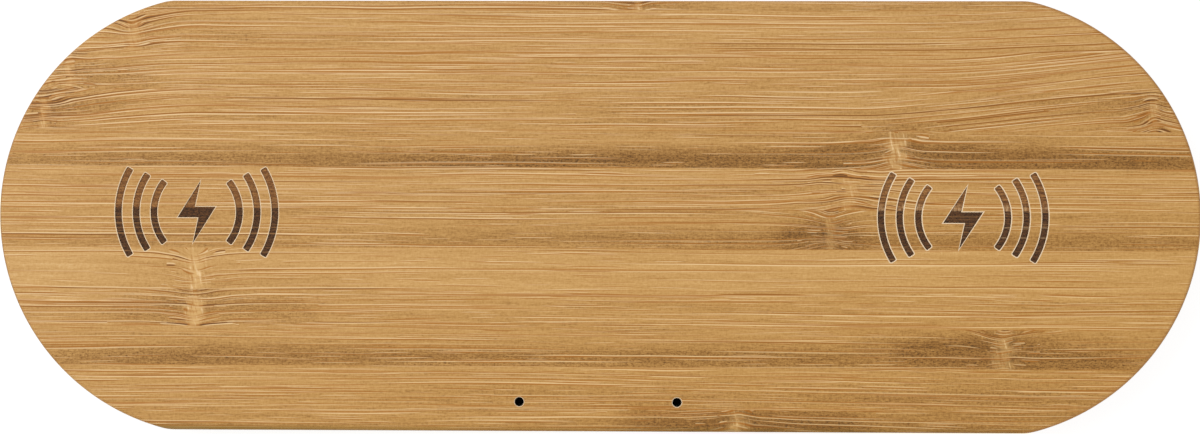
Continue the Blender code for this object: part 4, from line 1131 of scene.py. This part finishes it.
def case_cutters():
    """The room for the cover, the board's bay, the coil pockets, the lead channel and the openings."""
    yield mesh_from(prism(case_outline(RIM_WIDTH), CASE_BOTTOM - CUT_OVERRUN, LEDGE))
    low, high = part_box("circuit_board")
    left, right, back = low.x - BOARD_SIDE_GAP, high.x + BOARD_SIDE_GAP, high.y + BOARD_SIDE_GAP
    bay = [(left, back), (left, BAY_FRONT), (right, BAY_FRONT), (right, back)]
    yield mesh_from(prism(bay, COVER_TOP, BAY_CEILING))
    pocket = circle(radius_of("ferrite_shield_left") + POCKET_CLEARANCE, LARGE_STEPS)
    yield prisms("coil_tape", pocket, COVER_TOP, COIL_CEILING)
    left, right = (centre_of(f"coil_tape_{side}").x for side in SIDES)
    front = (INNER_LEAD_Y + OUTER_LEAD_Y - CHANNEL_WIDTH) / 2
    yield mesh_from(box((left, front, COVER_TOP), (right, front + CHANNEL_WIDTH, CHANNEL_CEILING)))
    yield port_mesh()
    pilot = circle(COVER_SCREW_RADIUS + PILOT_GAP, SMALL_STEPS)
    yield prisms("cover_screw", pilot, CASE_BOTTOM + SEAT_GAP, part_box("cover_screw_1")[1].z + SEAT_GAP)
    yield light_hole_cutter()
    yield mark_cutter()


def build_case():
    rings = [(inset, CASE_BOTTOM + rise) for inset, rise in eased_edge(EDGE_ROUND)]
    rings += [(inset, CASE_BOTTOM + CASE_TOP - height) for inset, height in rings[::-1]]
    mesh = mesh_from(skin([level(case_outline(inset), height) for inset, height in rings]))
    build_piece("bamboo_case", "bamboo", "top_case", mesh, [("DIFFERENCE", m) for m in case_cutters()])


# Pieces seen from below and from the front


def build_cover():
    """The moulded plate under the case, with eased edges, bosses, rings, recesses and screw seats."""
    inset = RIM_WIDTH + COVER_GAP
    rings = [level(case_outline(inset + ease), CASE_BOTTOM + rise) for ease, rise in eased_edge(COVER_EDGE)]
    rings.append(level(case_outline(inset), COVER_TOP))
    below, root = CASE_BOTTOM - CUT_OVERRUN, COVER_TOP - JOIN_BITE
    boss_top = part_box("circuit_board")[0].z - SEAT_GAP
    cuts = [("UNION", prisms("board_screw", circle(BOSS_RADIUS, SMALL_STEPS), root, boss_top))]
    inner, outer, top = PAD_RING_INNER, PAD_RING_INNER + PAD_RING_WALL, COVER_TOP + PAD_RING_HEIGHT
    ring = [(inner, root), (outer, root), (outer, top), (inner, top)]
    for name in numbered("foam_pad"):
        cuts.append(("UNION", mesh_from(turned(ring, LARGE_STEPS, centre_of(name), looped=True))))
    recess = circle(radius_of("foot_1") + SEAT_GAP, MIDDLE_STEPS)
    cuts.append(("DIFFERENCE", prisms("foot", recess, below, CASE_BOTTOM + FOOT_SEAT_DEPTH)))
    head, shank = radius_of("cover_screw_1") + PILOT_GAP, COVER_SCREW_RADIUS + PILOT_GAP
    mouth, above = CASE_BOTTOM + 2 * SEAT_GAP, COVER_TOP + CUT_OVERRUN
    seat = [(head, below), (head, mouth), (shank, mouth + SCREW_HEAD_HEIGHT), (shank, above)]
    seats = [turned(seat, SMALL_STEPS, centre_of(name)) for name in numbered("cover_screw")]
    cuts.append(("DIFFERENCE", mesh_from(*seats)))
    pilot = circle(BOARD_SCREW_RADIUS + PILOT_GAP, SMALL_STEPS)
    pilot_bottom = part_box("board_screw_1")[0].z - 2 * SEAT_GAP
    cuts.append(("DIFFERENCE", prisms("board_screw", pilot, pilot_bottom, boss_top + CUT_OVERRUN)))
    build_piece("moulded_cover", "cover_plastic", "bottom_cover", mesh_from(skin(rings)), cuts)


def build_feet():
    """Soft discs with rounded edges, a little hollow in the middle."""
    low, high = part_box("foot_1")
    radius = radius_of("foot_1")
    hollow, sole = FOOT_HOLLOW_SHARES
    profile = [(radius * hollow, FOOT_HOLLOW), (radius * sole, 0.0)]
    profile += arc((radius - FOOT_EDGE, FOOT_EDGE), FOOT_EDGE, -math.pi / 2, 0, ROUND_STEPS)
    profile.append((radius, high.z - low.z))
    for i, name in enumerate(numbered("foot"), 1):
        mesh = mesh_from(turned(profile, MIDDLE_STEPS, centre_of(name)))
        build_piece(f"rubber_foot_{i}", "foot_rubber", name, mesh)


def thread_rings(radius, start, end):
    """Rings up a screw's shank whose crests wind round it. The thread fades out at both ends."""
    count = max(2, round(abs(end - start) / THREAD_PITCH * THREAD_RINGS_PER_TURN))
    for i in range(count + 1):
        share = i / count
        height = start + (end - start) * share
        fade = min(1.0, share / THREAD_FADE_SHARE, (1 - share) / THREAD_FADE_SHARE)
        ring = []
        for j in range(THREAD_STEPS):
            turn = math.tau * j / THREAD_STEPS
            phase = (height / THREAD_PITCH - j / THREAD_STEPS) % 1
            root = min(1.0, abs(phase - 0.5) * THREAD_SLOPE)
            r = radius - THREAD_DEPTH * root * fade
            ring.append((r * math.cos(turn), r * math.sin(turn), height))
        yield ring


def round_rings(profile):
    return [level(circle(radius, THREAD_STEPS), height) for radius, height in profile]


def screw_mesh(rings, drive_floor, drive_mouth):
    """A screw about the origin, with a cross recess between these two heights."""
    ends = ((drive_floor, DRIVE_FLOOR_SHARE, DRIVE_FLOOR_CORNER), (drive_mouth, 1, DRIVE_MOUTH_CORNER))
    cuts = []
    for length, width in ((DRIVE_LENGTH, DRIVE_WIDTH), (DRIVE_WIDTH, DRIVE_LENGTH)):
        arm = []
        for height, share, corner in sorted(ends):
            outline = rounded_rectangle(length * share, width * share, corner, DRIVE_CORNER_STEPS)
            arm.append(level(outline, height))
        cuts.append(("DIFFERENCE", mesh_from(skin(arm))))
    screw = add_object("screw", mesh_from(skin(rings)))
    cut(screw, cuts)
    mesh = screw.data
    bpy.data.objects.remove(screw)
    mesh.materials.clear()
    return mesh


def add_screws(kind, label, mesh, height):
    for i, name in enumerate(numbered(kind), 1):
        copy = mesh.copy()
        x, y, _ = centre_of(name)
        copy.transform(Matrix.Translation((x, y, height)))
        build_piece(f"{label}_{i}", "screw_steel", name, copy)


def build_cover_screws():
    """Countersunk screws, driven up into the bamboo, with a turned thread and a cross recess."""
    low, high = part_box("cover_screw_1")
    head, length, shank = radius_of("cover_screw_1"), high.z - low.z, COVER_SCREW_RADIUS
    rings = round_rings([(head - COUNTERSUNK_EDGE, 0), (head, COUNTERSUNK_EDGE_TOP)])
    rings += round_rings([(head, COUNTERSUNK_RIM_TOP), (shank, SCREW_HEAD_HEIGHT)])
    rings += thread_rings(shank, SCREW_HEAD_HEIGHT + COVER_THREAD_GAP, length - COVER_SCREW_POINT)
    for wide, back in COVER_POINT_SHARES:
        rings += round_rings([(shank * wide, length - COVER_SCREW_POINT * back)])
    add_screws("cover_screw", "countersunk_screw", screw_mesh(rings, DRIVE_DEPTH, -CUT_OVERRUN), low.z)


def build_board_screws():
    """Pan head screws, driven down through the board into the cover's bosses."""
    low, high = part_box("board_screw_1")
    head, top, shank = radius_of("board_screw_1"), high.z - low.z, BOARD_SCREW_RADIUS
    under = top - SCREW_HEAD_HEIGHT
    rings = round_rings([(shank * wide, BOARD_SCREW_POINT * up) for wide, up in BOARD_POINT_SHARES])
    rings += thread_rings(shank, BOARD_SCREW_POINT, under - BOARD_THREAD_GAP)
    side_top = under + SCREW_HEAD_HEIGHT * PAN_SIDE_SHARE
    rings += round_rings([(shank, under), (head, under), (head, side_top)])
    for share in PAN_DOME_SHARES:
        rise = PAN_SIDE_SHARE + (1 - PAN_SIDE_SHARE) * share
        rings += round_rings([(head * math.sqrt(1 - share**2 / 2), under + SCREW_HEAD_HEIGHT * rise)])
    mesh = screw_mesh(rings, top - DRIVE_DEPTH, top + CUT_OVERRUN)
    add_screws("board_screw", "pan_head_screw", mesh, low.z)


def socket_outline(grow, y, middle):
    """The socket's outline at one depth, grown or shrunk."""
    return upright(SOCKET_WIDTH + 2 * grow, SOCKET_HEIGHT + 2 * grow, SOCKET_CORNER + grow, y, middle)


def build_socket():
    """The socket's drawn metal shell with a rounded lip and its ears on the board."""
    low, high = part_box("usb_shell")
    front, back, middle = low.y, high.y, high.z - SOCKET_HEIGHT / 2
    lip = SOCKET_WALL / 2
    rings = [socket_outline(0, back, middle)]
    for grow, y in arc((-lip, front + lip), lip, 0, -math.pi, ROUND_STEPS):
        rings.append(socket_outline(grow, y, middle))
    rings.append(socket_outline(-SOCKET_WALL, back, middle))
    board_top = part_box("circuit_board")[1].z + SEAT_GAP
    ears = []
    for share in EAR_PLACE_SHARES:
        y = front + share * (back - front)
        for side in (-1, 1):
            first, last = sorted((side * (SOCKET_WIDTH / 2 - EAR_BITE), side * high.x))
            corner = (last, y + EAR_LENGTH / 2, board_top + EAR_THICKNESS)
            ears.append(box((first, y - EAR_LENGTH / 2, board_top), corner))
    shell = mesh_from(skin(rings, looped=True))
    build_piece("socket_shell", "socket_metal", "usb_shell", shell, [("UNION", mesh_from(*ears))])


def build_tongue():
    """The socket's tongue on its base, with a row of contacts on both faces."""
    back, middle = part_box("usb_shell")[1].y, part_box("usb_shell")[1].z - SOCKET_HEIGHT / 2
    front, base_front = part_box("usb_tongue")[0].y, back - TONGUE_BASE_DEPTH
    base = [socket_outline(-SOCKET_WALL - SOCKET_INNER_GAP, y, middle) for y in (back, base_front)]
    blade = []
    for y, taper in ((base_front + JOIN_BITE, 0), (front + TONGUE_TIP, 0), (front, TONGUE_TIP_TAPER)):
        width, thickness = TONGUE_WIDTH - taper, TONGUE_THICKNESS - taper
        blade.append(upright(width, thickness, TONGUE_CORNER, y, middle, SMALL_ROUND_STEPS))
    contacts = []
    row_front = front + CONTACT_INSET
    for i in range(CONTACTS):
        x = (i - (CONTACTS - 1) / 2) * CONTACT_PITCH
        for side in (-1, 1):
            faces = [TONGUE_THICKNESS / 2 + rise for rise in (-CONTACT_HEIGHT, CONTACT_HEIGHT)]
            low, high = sorted(side * face for face in faces)
            corner = (x + CONTACT_WIDTH / 2, row_front + CONTACT_LENGTH, middle + high)
            contacts.append(box((x - CONTACT_WIDTH / 2, row_front, middle + low), corner))
    cuts = [mesh_from(skin(blade)), mesh_from(*contacts, materials=("contact_gold",))]
    cuts = [("UNION", mesh) for mesh in cuts]
    build_piece("socket_tongue", "socket_plastic", "usb_tongue", mesh_from(skin(base)), cuts)


# Pieces inside the case


def polar(radius, degrees):
    return radius * math.cos(math.radians(degrees)), radius * math.sin(math.radians(degrees))


def smooth_line(points, spacing):
    """Points about this far apart on a smooth curve through the given ones."""
    points = [Vector(p) for p in points]
    points = [2 * points[0] - points[1], *points, 2 * points[-1] - points[-2]]
    line = []
    for a, b, c, d in zip(points, points[1:], points[2:], points[3:]):
        steps = max(1, round((c - b).length / spacing))
        for i in range(steps):
            t = i / steps
            bend = (2 * a - 5 * b + 4 * c - d) * t**2 + (3 * b - a - 3 * c + d) * t**3
            line.append(b + ((c - a) * t + bend) / 2)
    return [*line, points[-2]]


def run_line(start, end, shares):
    """Points on the way to the board, at its end's place in Y. The shares say how far on and how high."""
    line = []
    for along, climb in shares:
        height = start[2] + climb * (end[2] - start[2])
        line.append((start[0] + along * (end[0] - start[0]), end[1], height))
    return line


def coil_route(side):
    """The middle line of one coil's wire: from the board under the winding, round it, and back."""
    x, y, _ = centre_of(f"coil_tape_{side}")
    way = 1 if x < 0 else -1
    ferrite_low, ferrite_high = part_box(f"ferrite_shield_{side}")
    board_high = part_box("circuit_board")[1]
    coil_z = ferrite_high.z + SEAT_GAP + WIRE_RADIUS
    slot_z = (ferrite_low.z + ferrite_high.z) / 2
    pad_z = board_high.z + SEAT_GAP + WIRE_RADIUS
    pad_u = abs(x) - board_high.x + SOLDER_INSET
    inner_pad, outer_pad = (pad_u, INNER_LEAD_Y - y, pad_z), (pad_u, OUTER_LEAD_Y - y, pad_z)
    slot_mouth = (*polar(radius_of(f"ferrite_shield_{side}"), FERRITE_SLOT_DEGREES), slot_z)
    inner_lead = run_line(slot_mouth, inner_pad, INNER_RUN_SHARES)[::-1] + [slot_mouth]
    for share, degrees, climb in INNER_CURL_SHARES:
        place = polar(share * COIL_INNER_RADIUS, FERRITE_SLOT_DEGREES + degrees)
        inner_lead.append((*place, slot_z + climb * (coil_z - slot_z)))
    spiral = []
    for i in range(round(COIL_TURNS * COIL_POINTS_PER_TURN) + 1):
        turns = i / COIL_POINTS_PER_TURN
        radius, degrees = COIL_INNER_RADIUS + COIL_PITCH * turns, COIL_START_DEGREES + 360 * turns
        spiral.append((*polar(radius, degrees), coil_z))
    outer_radius, last = COIL_INNER_RADIUS + COIL_PITCH * COIL_TURNS, COIL_START_DEGREES + 360 * COIL_TURNS
    outer_lead = []
    for share, degrees in OUTER_CURL_SHARES:
        outer_lead.append((*polar(share * outer_radius, last + degrees), coil_z))
    outer_lead += run_line(outer_lead[-1], outer_pad, OUTER_RUN_SHARES)
    way_in = smooth_line([*inner_lead, spiral[0]], LEAD_POINT_SPACING)[:-1]
    way_out = smooth_line([spiral[-1], *outer_lead], LEAD_POINT_SPACING)[1:]
    return [Vector((x + way * p[0], y + p[1], p[2])) for p in [*way_in, *spiral, *way_out]]


def wound_wire(route):
    """Rings along a route: a bundle of strands that twist slowly round each other."""
    rings = []
    side = Vector((0, 0, 1))
    length = 0.0
    for i, point in enumerate(route):
        before, after = route[max(i - 1, 0)], route[min(i + 1, len(route) - 1)]
        length += (point - before).length
        along = (after - before).normalized()
        side = (side - along * side.dot(along)).normalized()
        other = along.cross(side)
        ring = []
        for j in range(STRANDS * 2):
            turn = math.pi * j / STRANDS + math.tau * length / STRAND_TWIST
            radius = WIRE_RADIUS * (1 - STRAND_DEPTH_SHARE * (j % 2))
            ring.append(point + side * radius * math.cos(turn) + other * radius * math.sin(turn))
        rings.append(ring)
    return rings


def build_coil(side):
    mesh = mesh_from(skin(wound_wire(coil_route(side))))
    build_piece(f"litz_coil_{side}", "copper_wire", f"charging_coil_{side}", mesh, sharp=None)


def build_foam_pad(side):
    """A soft disc, pressed between the cover and the ferrite so that its side bulges a little."""
    node = f"foam_pad_{side}"
    low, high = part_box(node)
    middle, radius, edge = centre_of(node), radius_of(node), FOAM_EDGE + FOAM_BULGE
    rings = [(radius * share, low.z, 0) for share in FOAM_RING_SHARES]
    for x, z in arc((0, 0), 1, -math.pi / 2, math.pi / 2, ROUND_STEPS * 2):
        rings.append((radius - edge + edge * x, middle.z + z * (high.z - low.z) / 2, 0))
    rings += [(radius * share, high.z, FOAM_DENT) for share in FOAM_RING_SHARES[::-1]]
    stack = []
    for ring_radius, height, dent in rings:
        ring = []
        for x, y in circle(ring_radius, LARGE_STEPS):
            wave = 1 + math.sin(x / FOAM_DENT_SPACING[0]) * math.cos(y / FOAM_DENT_SPACING[1])
            ring.append((middle.x + x, middle.y + y, height - dent * wave))
        stack.append(ring)
    mesh = mesh_from(skin(stack))
    pad = build_piece(f"foam_disc_{side}", "foam", node, mesh, sharp=FOAM_SHARP_ANGLE)


def build_tape(side):
    """A thin disc. The turns of the coil show through it as faint ridges."""
    node = f"coil_tape_{side}"
    low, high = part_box(node)
    radius, half_pitch, edge = radius_of(node), COIL_PITCH / 2, TAPE_EDGE
    profile = [(TAPE_MIDDLE, low.z)]
    r = COIL_INNER_RADIUS - half_pitch
    while r < radius - half_pitch:
        profile += [(r, low.z), (r + half_pitch, low.z + TAPE_RIDGE)]
        r += COIL_PITCH
    profile += [(radius - edge, low.z), (radius, low.z + edge), (radius, high.z - edge)]
    profile += [(radius - edge, high.z), (TAPE_MIDDLE, high.z)]
    mesh = mesh_from(turned(profile, LARGE_STEPS, centre_of(node)))
    build_piece(f"tape_disc_{side}", "tape", node, mesh)


def build_sleeve(side):
    """A rubber tube about a status light, with rounded rims."""
    node = f"light_sleeve_{side}"
    low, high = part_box(node)
    outer, inner, edge = radius_of(node), SLEEVE_BORE_RADIUS, SLEEVE_EDGE
    corners = ((inner + edge, low.z + edge, 2), (outer - edge, low.z + edge, 3))
    corners += ((outer - edge, high.z - edge, 0), (inner + edge, high.z - edge, 1))
    profile = []
    for x, z, quarter in corners:
        start = quarter * math.pi / 2
        profile += arc((x, z), edge, start, start + math.pi / 2, SMALL_ROUND_STEPS)
    mesh = mesh_from(turned(profile, SMALL_STEPS, centre_of(node), looped=True))
    build_piece(f"rubber_sleeve_{side}", "sleeve_rubber", node, mesh)


build_case()
build_cover()
build_feet()
build_cover_screws()
build_board_screws()
build_socket()
build_tongue()
for build in (build_coil, build_foam_pad, build_tape, build_sleeve):
    for side in SIDES:
        build(side)

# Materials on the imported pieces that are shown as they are
KEPT = {
    "circuit_board": "board_laminate",
    "status_light": "light_lens",
    "ferrite_shield": "ferrite",
    "controller_chip": "chip_plastic",
    "bridge_transistor": "chip_plastic",
    "input_capacitor": "tantalum",
    "resonance_capacitor": "ceramic",
    "input_inductor": "core_grey",
}
for kind, material in KEPT.items():
    for name in numbered(kind):
        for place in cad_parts[name].material_slots:
            place.material = MATERIALS[material]


# Stage, lights and camera


def build_stage():
    """A pale floor that looks almost white with a faint shadow, and can be seen through from below."""
    tree = new_material("floor", Roughness=FLOOR_ROUGHNESS, Base_Color=FLOOR_TONE)
    rays = add_node("LightPath", {}, tree=tree).socket.node.outputs
    seen = Field(rays["Is Camera Ray"]) + Field(rays["Is Glossy Ray"])
    seen = clamped(seen + Field(rays["Is Transmission Ray"]))
    glow = add_node("Emission", {"Strength": FLOOR_GLOW}, tree=tree)
    shaded = add_node("BsdfDiffuse", {"Color": FLOOR_SHADED_TONE}, tree=tree)
    plain = Field(tree.nodes["Principled BSDF"].outputs[0])
    floor = add_node("MixShader", {0: seen, 1: plain, 2: add_node("AddShader", {0: glow, 1: shaded})})
    below = add_node("NewGeometry", {}, "Backfacing", tree)
    clear = add_node("BsdfTransparent", {}, tree=tree)
    surface = tree.nodes["Material Output"].inputs["Surface"]
    feed(surface, add_node("MixShader", {0: below, 1: floor, 2: clear}))
    half, back = FLOOR_HALF_WIDTH, FLOOR_BACK
    corners = [(-half, -half, 0), (half, -half, 0), (half, back, 0), (-half, back, 0)]
    mesh = bpy.data.meshes.new("floor")
    mesh.from_pydata(corners, [], [(0, 1, 2, 3)])
    mesh.materials.append(MATERIALS["floor"])
    add_object("floor", mesh)


def build_world():
    world = bpy.data.worlds.new("studio")
    bpy.context.scene.world = world
    world.use_nodes = True
    background = world.node_tree.nodes["Background"].inputs
    seen = add_node("LightPath", {}, "Is Camera Ray", world.node_tree)
    feed(background["Strength"], WORLD_LIGHT + seen * (1 - WORLD_LIGHT))
    background["Color"].default_value = (1.0, 1.0, 1.0, 1.0)


def add_lamp(name, place, size, power):
    data = bpy.data.lights.new(name, "AREA")
    data.shape = "RECTANGLE"
    data.size, data.size_y = size
    data.energy = power
    lamp = add_object(name, data)
    lamp.location = place
    lamp.rotation_euler = (-Vector(place)).to_track_quat("-Z", "Y").to_euler()


def build_camera():
    data = bpy.data.cameras.new("camera")
    data.lens = CAMERA_LENS
    data.sensor_width = CAMERA_SENSOR
    data.clip_start, data.clip_end = CAMERA_CLIP
    camera = add_object("camera", data)
    camera.location = CAMERA_PLACE
    camera.rotation_euler = CAMERA_TURN
    bpy.context.scene.camera = camera


build_stage()
build_world()
for lamp in LAMPS:
    add_lamp(*lamp)
build_camera()
bpy.context.scene.view_settings.view_transform = "Standard"
